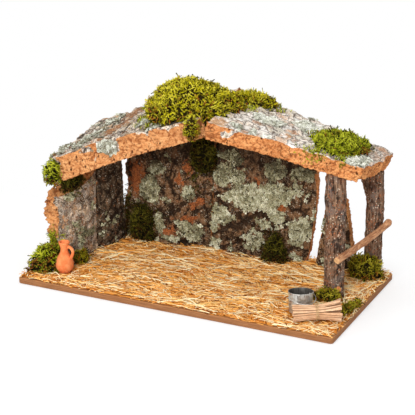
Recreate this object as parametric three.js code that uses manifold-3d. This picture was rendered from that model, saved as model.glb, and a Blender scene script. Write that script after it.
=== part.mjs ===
// Cork nativity stable: two cork bark slabs lean together as a gabled roof over bark walls and
// two log posts, on a board strewn with straw. Moss is glued along the joints, and a clay jug,
// a pail with a swinging bail and a tied bundle of kindling stand in front.
// Millimetres, +Z up, origin at the middle of the board's underside, front towards -Y.

import * as THREE from 'three';
import Module from 'manifold-3d';
import { mergeVertices } from 'three/addons/utils/BufferGeometryUtils.js';

const wasm = await Module();
wasm.setup();

// Board
const BOARD_LENGTH = 500;
const BOARD_DEPTH = 250;
const BOARD_THICKNESS = 9;
const BOARD_CORNER_RADIUS = 5;
const BOARD_EDGE_BREAK = 0.8;

// Gap that touching pieces keep
const SEAT_GAP = 0.3;

// Straw litter
const STRAW_DEPTH = 2.4;
const STRAW_HOLLOWS = 0.7;
const STRAW_MARGIN = 2.5;
const STRAW_EDGE_WAVE = 1.6;
const STRAW_ROUND_WALLS = 1;

// Roof: plan, measured from the board's edges
const RIDGE_OFFSET = 17;
const LEFT_EAVE_INSET = 45;
const RIGHT_EAVE_INSET = 16;
const ROOF_FRONT_SETBACK = 80;
const LEFT_FRONT_STEP = 9;
const RIGHT_FRONT_STEP = 35;
const ROOF_BACK_INSET = 1;

// Roof: heights of the underside above the board's top
const RIDGE_FRONT_HEIGHT = 231;
const RIDGE_BACK_HEIGHT = 221;
const LEFT_EAVE_FRONT_HEIGHT = 136;
const LEFT_EAVE_BACK_HEIGHT = 136;
const RIGHT_EAVE_FRONT_HEIGHT = 194;
const RIGHT_EAVE_BACK_HEIGHT = 162;
const LEFT_ROOF_ARCH = 5;
const RIGHT_ROOF_ARCH = 1;

// Roof: thickness of the bark at the corners of each slab
const LEFT_EAVE_FRONT_THICKNESS = 38;
const LEFT_EAVE_BACK_THICKNESS = 48;
const LEFT_RIDGE_THICKNESS = 29;
const LEFT_RIDGE_BACK_THICKNESS = 38;
const RIGHT_RIDGE_THICKNESS = 27;
const RIGHT_RIDGE_BACK_THICKNESS = 28;
const RIGHT_EAVE_FRONT_THICKNESS = 23;
const RIGHT_EAVE_BACK_THICKNESS = 30;
const LEFT_EAVE_OVERHANG = 11;
const RIGHT_EAVE_OVERHANG = 8;
const ROOF_EDGE_WAVE = 3;
const RIDGE_CHIP_DEPTH = 14;
const RIDGE_CHIP_LENGTH = 19;
const LEFT_HOLLOW_FROM_RIDGE = 147;
const LEFT_HOLLOW_REACH = 29;
const LEFT_HOLLOW_DEPTH = 15;
const RIGHT_HOLLOW_FROM_RIDGE = 133;
const RIGHT_HOLLOW_REACH = 72;
const RIGHT_HOLLOW_DEPTH = 6;

// Bark: furrows and torn rims
const BARK_RELIEF = 4;
const BARK_PLATE_LENGTH = 46;
const BARK_PLATE_WIDTH = 29;
const TORN_RIM = 1.6;
const WALL_TEAR = 2.5;
const TEAR_SPAN = 140;
const TEAR_LONG_WAVE = 21;
const TEAR_SHORT_WAVE = 8.3;
const BARK_WARP = 8;
const BARK_WARP_SPAN = 27;
const ROOF_PLATE_SPAN = 33;
const ROOF_PLATE_STRAY = 0.32;
const ROOF_PLATE_RELIEF = 4;
const ROOF_PLATE_STEP = 1.5;
const ROOF_CRACK_SHARE = 0.34;

// Left wall: two slabs in line, skewed in plan
const LEFT_WALL_INSET = 32;
const LEFT_WALL_SETBACK = 69;
const LEFT_WALL_SKEW = 18.5;
const LEFT_WALL_THICKNESS = 31;
const LEFT_WALL_FRONT_LENGTH = 80;
const LEFT_WALL_REAR_LENGTH = 57;
const LEFT_WALL_FRONT_HEIGHT = 110;
const LEFT_WALL_SEAM_HEIGHT = 132;
const LEFT_WALL_BULGE = 3;
const LEFT_WALL_FOOT_REACH = 3;
const LEFT_WALL_REAR_DRAW = 5;

// Back wall: two slabs in line
const BACK_WALL_LEFT_INSET = 76;
const BACK_WALL_SETBACK = 38;
const BACK_WALL_SKEW = 3.2;
const BACK_WALL_THICKNESS = 20;
const BACK_WALL_LEFT_LENGTH = 139;
const BACK_WALL_END_GAP = 19;
const BACK_WALL_RIGHT_SPREAD = 18;
const BACK_WALL_SEAM_LEAN = 9;
const BACK_WALL_BULGE = 8;
const SLAB_JOINT = 0.6;
const WALL_BACK_ROUND = 2;

// Short cork piece between the back wall and the rear post
const STUB_POST_GAP = 12;
const STUB_SETBACK = 24;
const STUB_SKEW = 2;
const STUB_LENGTH = 62;
const STUB_TOP_LENGTH = 28;
const STUB_HEIGHT = 122;
const STUB_THICKNESS = 16;
const STUB_BULGE = 3;
const STUB_SHOULDER = 14;

// Posts
const FRONT_POST_DIAMETER = 31;
const FRONT_POST_RIGHT_INSET = 50;
const FRONT_POST_SETBACK = 131;
const REAR_POST_DIAMETER = 28;
const REAR_POST_RIGHT_INSET = 28;
const REAR_POST_BACK_INSET = 16;
const LOG_FURROW = 1;
const LOG_TWIST_SPAN = 37;
const LOG_SWAY = 1;
const FRONT_KNOT_HEIGHT = 148;
const FRONT_KNOT_SIZE = 3.5;
const RAIL_KNOT_HEIGHT = 83;
const RAIL_KNOT_SIZE = 1.8;
const KNOT_SPREAD = 10;
const STUB_BRANCH_HEIGHT = 142;
const STUB_BRANCH_SIZE = 9;
const STUB_BRANCH_SPREAD = 12;

// Rail
const RAIL_DIAMETER = 10.6;
const RAIL_FRONT_HEIGHT = 71;
const RAIL_REAR_HEIGHT = 82;
const RAIL_FRONT_REACH = 27;
const RAIL_REAR_REACH = 9;
const RAIL_BOW = 1.5;

// Screws that hold the posts from below
const SCREW_DIAMETER = 4;
const SCREW_HEAD_DIAMETER = 8;
const SCREW_HEAD_HEIGHT = 3;
const SCREW_DEPTH_IN_POST = 26;
const SCREW_SINK = 0.6;

// Moss: size of each cushion before it is cut to what carries it, its turn and its place
const RIDGE_MOSS_LENGTH = 138;
const RIDGE_MOSS_DEPTH = 118;
const RIDGE_MOSS_HEIGHT = 90;
const RIDGE_MOSS_TURN = 12;
const RIDGE_MOSS_FROM_RIDGE = 31;
const RIDGE_MOSS_FROM_FRONT = 66;

const RIDGE_RIGHT_MOSS_LENGTH = 84;
const RIDGE_RIGHT_MOSS_DEPTH = 48;
const RIDGE_RIGHT_MOSS_HEIGHT = 27;
const RIDGE_RIGHT_MOSS_TURN = 5;
const RIDGE_RIGHT_MOSS_FROM_RIDGE = 6;
const RIDGE_RIGHT_MOSS_FROM_FRONT = 143;

const RIDGE_TAIL_LENGTH = 24;
const RIDGE_TAIL_DEPTH = 20;
const RIDGE_TAIL_HEIGHT = 44;
const RIDGE_TAIL_LEFT_OF_RIDGE = 17;
const RIDGE_TAIL_FORWARD = 5;
const RIDGE_TAIL_RISE = 14;

const ROOF_RIGHT_MOSS_LENGTH = 100;
const ROOF_RIGHT_MOSS_DEPTH = 92;
const ROOF_RIGHT_MOSS_HEIGHT = 27;
const ROOF_RIGHT_MOSS_TURN = 20;
const ROOF_RIGHT_MOSS_FROM_RIDGE = 151;
const ROOF_RIGHT_MOSS_FROM_FRONT = 80;

const EAVE_MOSS_LENGTH = 26;
const EAVE_MOSS_DEPTH = 38;
const EAVE_MOSS_HEIGHT = 48;
const EAVE_MOSS_OUT = 19;
const EAVE_MOSS_FORWARD = 9;
const EAVE_MOSS_RISE = 10;

const WALL_TOP_MOSS_LENGTH = 40;
const WALL_TOP_MOSS_DEPTH = 24;
const WALL_TOP_MOSS_HEIGHT = 34;
const WALL_TOP_MOSS_TURN = 70;
const WALL_TOP_MOSS_ALONG = 32;
const WALL_TOP_MOSS_THROUGH = 2;
const WALL_TOP_MOSS_RISE = 120;

const LEFT_FRONT_MOSS_LENGTH = 60;
const LEFT_FRONT_MOSS_DEPTH = 42;
const LEFT_FRONT_MOSS_HEIGHT = 80;
const LEFT_FRONT_MOSS_TURN = 45;
const LEFT_FRONT_MOSS_INSET = 30;
const LEFT_FRONT_MOSS_SETBACK = 42;

const JUG_MOSS_LENGTH = 28;
const JUG_MOSS_DEPTH = 24;
const JUG_MOSS_HEIGHT = 40;
const JUG_MOSS_TURN = 70;
const JUG_MOSS_ALONG = 24;
const JUG_MOSS_PROUD = 22;

const BACK_LEFT_MOSS_LENGTH = 46;
const BACK_LEFT_MOSS_DEPTH = 26;
const BACK_LEFT_MOSS_HEIGHT = 118;
const BACK_LEFT_MOSS_TURN = 5;
const BACK_LEFT_MOSS_ALONG = 29;
const BACK_LEFT_MOSS_PROUD = 10;

const SEAM_MOSS_LENGTH = 42;
const SEAM_MOSS_DEPTH = 20;
const SEAM_MOSS_HEIGHT = 66;
const SEAM_MOSS_LEFT_OF_SEAM = 9;
const SEAM_MOSS_PROUD = 12;
const SEAM_MOSS_RISE = 152;

const BACK_RIGHT_MOSS_LENGTH = 40;
const BACK_RIGHT_MOSS_DEPTH = 28;
const BACK_RIGHT_MOSS_HEIGHT = 90;
const BACK_RIGHT_MOSS_FROM_END = 42;
const BACK_RIGHT_MOSS_PROUD = 14;

const FRONT_POST_MOSS_LENGTH = 46;
const FRONT_POST_MOSS_DEPTH = 28;
const FRONT_POST_MOSS_HEIGHT = 36;
const FRONT_POST_MOSS_TURN = 8;
const FRONT_POST_MOSS_LEFTWARD = 2;
const FRONT_POST_MOSS_FORWARD = 20;

const REAR_POST_MOSS_LENGTH = 52;
const REAR_POST_MOSS_DEPTH = 36;
const REAR_POST_MOSS_HEIGHT = 78;
const REAR_POST_MOSS_TURN = 10;
const REAR_POST_MOSS_LEFTWARD = 2;
const REAR_POST_MOSS_FORWARD = 26;

const RIGHT_EDGE_MOSS_LENGTH = 17;
const RIGHT_EDGE_MOSS_DEPTH = 60;
const RIGHT_EDGE_MOSS_HEIGHT = 26;
const RIGHT_EDGE_MOSS_TURN = -8;
const RIGHT_EDGE_MOSS_INSET = 10;
const RIGHT_EDGE_MOSS_SETBACK = 92;

// Clay jug
const JUG_HEIGHT = 48;
const JUG_BODY_DIAMETER = 27;
const JUG_BASE_DIAMETER = 17.5;
const JUG_NECK_DIAMETER = 11.6;
const JUG_RIM_DIAMETER = 16.6;
const JUG_WALL = 1.8;
const JUG_HANDLE_DIAMETER = 3.2;
const JUG_HANDLE_REACH = 14.4;
const JUG_LEFT_INSET = 56;
const JUG_SETBACK = 43;

// Pail and bail
const PAIL_HEIGHT = 30;
const PAIL_RIM_DIAMETER = 35.5;
const PAIL_BASE_DIAMETER = 33;
const PAIL_WALL = 0.8;
const PAIL_FOOT = 1.4;
const PAIL_RIM_BEAD = 0.8;
const PAIL_BODY_BEAD_HEIGHT = 10;
const PAIL_BODY_BEAD = 0.5;
const PAIL_RIGHT_INSET = 70;
const PAIL_SETBACK = 55.3;
const PAIL_TURN = 50;
const PAIL_LEAN_BACK = 6.5;
const PAIL_LEAN_LEFT = 3;
const EAR_WIDTH = 6;
const EAR_THICKNESS = 0.8;
const EAR_BELOW_RIM = 6.5;
const BAIL_WIRE = 1.2;
const BAIL_HOLE_CLEARANCE = 0.4;
const BAIL_SIDE_CLEARANCE = 0.7;
const BAIL_RIM_CLEARANCE = 3.8;
const BAIL_BULGE = 0.5;
const BAIL_HOOK = 2.6;
const BAIL_REST_ANGLE = 73;

// Bundle of kindling
const BUNDLE_LENGTH = 68;
const BUNDLE_LEFT_RADIUS = 12.6;
const BUNDLE_RIGHT_RADIUS = 17;
const BUNDLE_TURN = 25;
const BUNDLE_RIGHT_INSET = 38;
const BUNDLE_SETBACK = 36.5;
const STICK_THICKNESS = 4.1;
const STICK_WIDTH = 7.4;
const STICK_TRIM = 0.9;
const OUTER_STICKS = 9;
const INNER_STICKS = 4;
const OUTER_STICK_RADIUS = 8.3;
const INNER_STICK_RADIUS = 2.7;
const INNER_STICK_WIDTH = 4.6;
const INNER_STICK_SPREAD = 0.5;
const STICK_GAP = 0.35;

// Twine round the bundle
const TWINE_DIAMETER = 1;
const TWINE_LOOPS = 3;
const TWINE_PITCH = 1.7;
const TWINE_START = 262;
const TWINE_TAIL_SPREAD = 7;
const TWINE_TAIL_TURN = 42;

// Places and lengths that follow from the sizes above
const BOARD_TOP = BOARD_THICKNESS;
const FLOOR = BOARD_TOP + SEAT_GAP;
const STRAW_TOP = FLOOR + STRAW_DEPTH;
const STAND = STRAW_TOP + SEAT_GAP;
const BOARD_LEFT = -BOARD_LENGTH / 2;
const BOARD_RIGHT = BOARD_LENGTH / 2;
const BOARD_FRONT = -BOARD_DEPTH / 2;
const BOARD_BACK = BOARD_DEPTH / 2;
const ROOF_FRONT = BOARD_FRONT + ROOF_FRONT_SETBACK;
const ROOF_BACK = BOARD_BACK - ROOF_BACK_INSET;

const frontPost = {
  x: BOARD_RIGHT - FRONT_POST_RIGHT_INSET,
  y: BOARD_FRONT + FRONT_POST_SETBACK,
  seed: 5.2,
};

const rearPost = {
  x: BOARD_RIGHT - REAR_POST_RIGHT_INSET,
  y: BOARD_BACK - REAR_POST_BACK_INSET,
  seed: 2.1,
};

const LEFT_ROOF = {
  sign: -1,
  eaveX: BOARD_LEFT + LEFT_EAVE_INSET,
  frontEave: ROOF_FRONT - LEFT_FRONT_STEP,
  eaveFront: LEFT_EAVE_FRONT_HEIGHT,
  eaveBack: LEFT_EAVE_BACK_HEIGHT,
  arch: LEFT_ROOF_ARCH,
  ridgeThickness: LEFT_RIDGE_THICKNESS,
  ridgeBackThickness: LEFT_RIDGE_BACK_THICKNESS,
  eaveFrontThickness: LEFT_EAVE_FRONT_THICKNESS,
  eaveBackThickness: LEFT_EAVE_BACK_THICKNESS,
  overhang: LEFT_EAVE_OVERHANG,
  chip: RIDGE_CHIP_DEPTH,
  hollow: { place: LEFT_HOLLOW_FROM_RIDGE, reach: LEFT_HOLLOW_REACH, depth: LEFT_HOLLOW_DEPTH },
  seed: 1.1,
};

const RIGHT_ROOF = {
  sign: 1,
  eaveX: BOARD_RIGHT - RIGHT_EAVE_INSET,
  frontEave: ROOF_FRONT + RIGHT_FRONT_STEP,
  eaveFront: RIGHT_EAVE_FRONT_HEIGHT,
  eaveBack: RIGHT_EAVE_BACK_HEIGHT,
  arch: RIGHT_ROOF_ARCH,
  ridgeThickness: RIGHT_RIDGE_THICKNESS,
  ridgeBackThickness: RIGHT_RIDGE_BACK_THICKNESS,
  eaveFrontThickness: RIGHT_EAVE_FRONT_THICKNESS,
  eaveBackThickness: RIGHT_EAVE_BACK_THICKNESS,
  overhang: RIGHT_EAVE_OVERHANG,
  chip: 0,
  hollow: { place: RIGHT_HOLLOW_FROM_RIDGE, reach: RIGHT_HOLLOW_REACH, depth: RIGHT_HOLLOW_DEPTH },
  seed: 3.7,
};

// Colours and finishes
const finishes = {
  board: finish(0xb98a5e, 0.75),
  straw: finish(0xd9b36c, 0.9),
  bark: finish(0x6f665c, 0.95),
  roofBark: finish(0xa39c8c, 0.95),
  darkBark: finish(0x4c443d, 0.95),
  log: finish(0x5b4a40, 0.9),
  twig: finish(0x9c6a4b, 0.8),
  moss: finish(0x76831f, 1),
  clay: finish(0xd9794c, 0.85),
  zinc: finish(0xb4b3ae, 0.45, 0.8),
  kindling: finish(0xe6bd93, 0.8),
  twine: finish(0xd8b989, 0.95),
  steel: finish(0xa9abad, 0.4, 0.9),
};

const stable = new THREE.Group();
const boardSolid = makeBoard();
const walls = makeWalls();

addPiece('base_board', boardSolid, finishes.board);
addPiece('straw_bed', makeStrawBed(), finishes.straw);
for (const wall of walls) {
  const mesh = addPiece(wall.name, wallGeometry(wall, 0), wall.finish);
  mesh.position.set(wall.x, wall.y, FLOOR);
  mesh.rotation.z = toRadians(wall.turn);
}
addPiece('roof_left_slab', roofSlab(LEFT_ROOF, 0), finishes.roofBark);
addPiece('roof_right_slab', roofSlab(RIGHT_ROOF, 0), finishes.roofBark);
addPosts();
addRail();
addMoss();
addJug();
addPail();
addBundle();

// Shared helpers

function toRadians(degrees) {
  return degrees * Math.PI / 180;
}

function mix(a, b, share) {
  return a + (b - a) * share;
}

function clamp01(value) {
  return Math.min(1, Math.max(0, value));
}

function finish(color, roughness, metalness = 0) {
  return new THREE.MeshStandardMaterial({ color, roughness, metalness });
}

function addPiece(name, geometry, material, parent = stable) {
  geometry.computeVertexNormals();
  const mesh = new THREE.Mesh(geometry, material.clone());
  mesh.name = name;
  parent.add(mesh);
  return mesh;
}

// Uneven line for sawn and torn edges, between about -1 and 1
function wander(distance, seed) {
  const slow = Math.sin(distance / TEAR_LONG_WAVE + seed);
  const fast = Math.sin(distance / TEAR_SHORT_WAVE + 2.3 * seed);
  return 0.6 * slow + 0.4 * fast;
}

// Height of the bark's plates above its furrows, between 0 and 1, along lines that cross askew
function barkRelief(along, across, seed) {
  const bend = Math.sin(along / BARK_WARP_SPAN + seed) + Math.sin(across / BARK_WARP_SPAN + 2 * seed);
  const warp = BARK_WARP * bend;
  const long = Math.abs(Math.sin(Math.PI * (0.94 * along + 0.34 * across + warp) / BARK_PLATE_WIDTH));
  const short = Math.abs(Math.sin(Math.PI * (across - 0.4 * along - 1.5 * warp) / BARK_PLATE_LENGTH));
  return 0.6 * long + 0.4 * short;
}

// Number by chance for a plate of bark, between -1 and 1
function chance(i, j, seed) {
  const turns = 437.585 * Math.sin(12.9 * i + 78.2 * j + 3.1 * seed);
  return 2 * (turns - Math.floor(turns)) - 1;
}

// Height of a roof's plates of bark over their middle level, with cracks between them
function plateRelief(x, y, seed) {
  const u = x / ROOF_PLATE_SPAN;
  const v = y / ROOF_PLATE_SPAN;
  let near = Infinity;
  let next = Infinity;
  let level = 0;
  for (let i = Math.floor(u) - 1; i <= Math.floor(u) + 1; i += 1) {
    for (let j = Math.floor(v) - 1; j <= Math.floor(v) + 1; j += 1) {
      const alongAway = i + 0.5 + ROOF_PLATE_STRAY * chance(i, j, seed) - u;
      const acrossAway = j + 0.5 + ROOF_PLATE_STRAY * chance(j, i, seed + 1) - v;
      const away = Math.hypot(alongAway, acrossAway);
      next = Math.min(next, Math.max(away, near));
      if (away < near) level = chance(i, j, seed + 2);
      near = Math.min(near, away);
    }
  }
  const plate = clamp01((next - near) / ROOF_CRACK_SHARE);
  return ROOF_PLATE_RELIEF * (plate - 0.6) + ROOF_PLATE_STEP * level * plate;
}

function bodyFrom(positions, indices) {
  const geometry = new THREE.BufferGeometry();
  geometry.setAttribute('position', new THREE.Float32BufferAttribute(positions, 3));
  geometry.setIndex(signedVolume(positions, indices) < 0 ? flipped(indices) : indices);
  return geometry;
}

function signedVolume(positions, indices) {
  const corner = (i) => new THREE.Vector3().fromArray(positions, 3 * indices[i]);
  let volume = 0;
  for (let i = 0; i < indices.length; i += 3) {
    volume += corner(i).dot(corner(i + 1).cross(corner(i + 2))) / 6;
  }
  return volume;
}

function flipped(indices) {
  const turned = [];
  for (let i = 0; i < indices.length; i += 3) {
    turned.push(indices[i], indices[i + 2], indices[i + 1]);
  }
  return turned;
}

// Closed body on the six sides of a lattice, where place(u, v, w) gives each point
function latticeBody(columns, rows, layers, place) {
  const positions = [];
  const indices = [];
  const known = new Map();
  const vertex = (i, j, k) => {
    const key = `${i},${j},${k}`;
    if (!known.has(key)) {
      known.set(key, positions.length / 3);
      positions.push(...place(i / columns, j / rows, k / layers));
    }
    return known.get(key);
  };
  const quad = (a, b, c, d) => indices.push(a, b, c, a, c, d);
  for (let i = 0; i < columns; i += 1) {
    for (let j = 0; j < rows; j += 1) {
      quad(vertex(i, j, 0), vertex(i + 1, j, 0), vertex(i + 1, j + 1, 0), vertex(i, j + 1, 0));
      quad(
        vertex(i, j, layers), vertex(i, j + 1, layers),
        vertex(i + 1, j + 1, layers), vertex(i + 1, j, layers),
      );
    }
  }
  for (let k = 0; k < layers; k += 1) {
    for (let i = 0; i < columns; i += 1) {
      quad(vertex(i, 0, k), vertex(i, 0, k + 1), vertex(i + 1, 0, k + 1), vertex(i + 1, 0, k));
      quad(
        vertex(i, rows, k), vertex(i + 1, rows, k),
        vertex(i + 1, rows, k + 1), vertex(i, rows, k + 1),
      );
    }
    for (let j = 0; j < rows; j += 1) {
      quad(vertex(0, j, k), vertex(0, j + 1, k), vertex(0, j + 1, k + 1), vertex(0, j, k + 1));
      quad(
        vertex(columns, j, k), vertex(columns, j, k + 1),
        vertex(columns, j + 1, k + 1), vertex(columns, j + 1, k),
      );
    }
  }
  return bodyFrom(positions, indices);
}

// Closed body through rings of points, with a flat fan over each end
function ringBody(rings) {
  const sides = rings[0].length;
  const positions = rings.flat().flatMap((point) => point.toArray());
  const indices = [];
  for (let ring = 0; ring + 1 < rings.length; ring += 1) {
    for (let side = 0; side < sides; side += 1) {
      const next = (side + 1) % sides;
      const a = ring * sides + side;
      const b = ring * sides + next;
      indices.push(a, b, b + sides, a, b + sides, a + sides);
    }
  }
  closeEnd(rings[0], 0, true);
  closeEnd(rings[rings.length - 1], (rings.length - 1) * sides, false);
  return bodyFrom(positions, indices);

  function closeEnd(ring, first, reversed) {
    const middle = ring.reduce((sum, point) => sum.add(point), new THREE.Vector3());
    middle.divideScalar(sides);
    const centre = positions.length / 3;
    positions.push(...middle.toArray());
    for (let side = 0; side < sides; side += 1) {
      const next = (side + 1) % sides;
      const pair = reversed ? [first + next, first + side] : [first + side, first + next];
      indices.push(centre, ...pair);
    }
  }
}

// Tube along a line of points; section(share, angle) gives its radius
function sweptBody(points, sides, section, across = new THREE.Vector3(0, 0, 1)) {
  let normal = across.clone();
  const rings = points.map((point, index) => {
    const before = points[Math.max(0, index - 1)];
    const after = points[Math.min(points.length - 1, index + 1)];
    const tangent = after.clone().sub(before).normalize();
    normal = normal.clone().addScaledVector(tangent, -normal.dot(tangent)).normalize();
    const side = new THREE.Vector3().crossVectors(tangent, normal);
    return Array.from({ length: sides }, (_, step) => {
      const angle = 2 * Math.PI * step / sides;
      const radius = section(index / (points.length - 1), angle);
      return point.clone()
        .addScaledVector(normal, radius * Math.cos(angle))
        .addScaledVector(side, radius * Math.sin(angle));
    });
  });
  return ringBody(rings);
}

// Body turned about Z from a closed half outline of [radius, height] pairs
function turnedBody(outline, sides) {
  const points = outline.map(([radius, height]) => new THREE.Vector2(radius, height));
  const geometry = new THREE.LatheGeometry(points, sides);
  geometry.rotateX(Math.PI / 2);
  return cleaned(geometry);
}

// Same body with shared corners merged and empty triangles dropped
function cleaned(source) {
  const geometry = source.clone();
  geometry.deleteAttribute('normal');
  geometry.deleteAttribute('uv');
  const merged = mergeVertices(geometry, 1e-4);
  const index = Array.from(merged.index.array);
  const kept = [];
  for (let i = 0; i < index.length; i += 3) {
    const [a, b, c] = index.slice(i, i + 3);
    if (a !== b && b !== c && a !== c) kept.push(a, b, c);
  }
  return bodyFrom(Array.from(merged.attributes.position.array), kept);
}

function toSolid(geometry) {
  return new wasm.Manifold(new wasm.Mesh({
    numProp: 3,
    vertProperties: new Float32Array(geometry.attributes.position.array),
    triVerts: new Uint32Array(geometry.index.array),
  }));
}

// Geometry of the largest body of a solid
function toGeometry(solid) {
  const bodies = solid.decompose();
  const largest = bodies.reduce((a, b) => (b.volume() > a.volume() ? b : a));
  const mesh = largest.getMesh();
  const positions = [];
  for (let i = 0; i < mesh.numVert; i += 1) {
    const start = i * mesh.numProp;
    positions.push(...mesh.vertProperties.slice(start, start + 3));
  }
  return cleaned(bodyFrom(positions, Array.from(mesh.triVerts)));
}

function moved(geometry, x, y, z, turn = 0) {
  return geometry.clone().rotateZ(toRadians(turn)).translate(x, y, z);
}

function boxBody(width, depth, height, x, y, z) {
  return cleaned(new THREE.BoxGeometry(width, depth, height).translate(x, y, z));
}

// Round bar along an axis given by its middle and direction
function barBody(diameter, length, middle, direction, sides = 12) {
  const bar = new THREE.CylinderGeometry(diameter / 2, diameter / 2, length, sides);
  const up = new THREE.Vector3(0, 1, 0);
  bar.applyQuaternion(new THREE.Quaternion().setFromUnitVectors(up, direction));
  return cleaned(bar.translate(middle.x, middle.y, middle.z));
}

// Roof

// Height of the roof's underside over a point of the board
function undersideOf(side, x, y) {
  const out = (x - RIDGE_OFFSET) / (side.eaveX - RIDGE_OFFSET);
  const back = (y - ROOF_FRONT) / (ROOF_BACK - ROOF_FRONT);
  const front = mix(RIDGE_FRONT_HEIGHT, side.eaveFront, out);
  const rear = mix(RIDGE_BACK_HEIGHT, side.eaveBack, out);
  return BOARD_TOP + mix(front, rear, back) + side.arch * Math.sin(Math.PI * clamp01(out));
}

function roofUnderside(x, y) {
  return undersideOf(x < RIDGE_OFFSET ? LEFT_ROOF : RIGHT_ROOF, x, y);
}

// Unit direction square to a roof slab
function roofNormal(side) {
  const fall = RIDGE_FRONT_HEIGHT - side.eaveFront;
  const run = Math.abs(side.eaveX - RIDGE_OFFSET);
  return new THREE.Vector3(side.sign * fall, 0, run).normalize();
}

// Point of a roof slab: back from its front edge, out from the ridge, up through the bark
function roofPoint(side, back, out, up, grow) {
  const rim = up * (1 - up) * 4 * TORN_RIM;
  const endWave = ROOF_EDGE_WAVE * wander(back * (ROOF_BACK - ROOF_FRONT), side.seed) + rim;
  const ridgeEnd = RIDGE_OFFSET + side.sign * (SEAT_GAP / 2 - grow);
  const eaveEnd = side.eaveX + side.sign * (endWave + side.overhang * up + grow);
  const x = mix(ridgeEnd, eaveEnd, out);
  const nearRidge = clamp01(1 - Math.abs(x - RIDGE_OFFSET) / RIDGE_CHIP_LENGTH);
  const frontLine = mix(ROOF_FRONT, side.frontEave, out) + side.chip * nearRidge;
  const hollowed = (Math.abs(x - RIDGE_OFFSET) - side.hollow.place) / side.hollow.reach;
  const hollow = side.hollow.depth * Math.exp(-(hollowed ** 4)) * up ** 2;
  const wave = ROOF_EDGE_WAVE * wander(x, side.seed + 2) + rim * wander(3 * x, 1);
  const front = frontLine + hollow - wave - grow;
  const rear = ROOF_BACK - Math.abs(ROOF_EDGE_WAVE * wander(x, side.seed + 4)) - TORN_RIM + rim + grow;
  const y = mix(front, rear, back);
  const eave = mix(side.eaveFrontThickness, side.eaveBackThickness, back);
  const ridge = mix(side.ridgeThickness, side.ridgeBackThickness, back);
  const thickness = mix(ridge, eave, out) + plateRelief(x, y, side.seed) + 2 * grow;
  const normal = roofNormal(side);
  return [
    x + normal.x * thickness * up,
    y,
    undersideOf(side, x, y) - grow + normal.z * thickness * up,
  ];
}

function roofSlab(side, grow) {
  return latticeBody(16, 24, 2, (u, v, w) => roofPoint(side, u, v, w, grow));
}

// Point of the roof's bark above a place given from the ridge and the front edge
function onRoof(side, fromRidge, fromFront) {
  const out = fromRidge / Math.abs(side.eaveX - RIDGE_OFFSET);
  const back = fromFront / (ROOF_BACK - ROOF_FRONT);
  return new THREE.Vector3(...roofPoint(side, back, out, 1, 0));
}

// Walls

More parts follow.
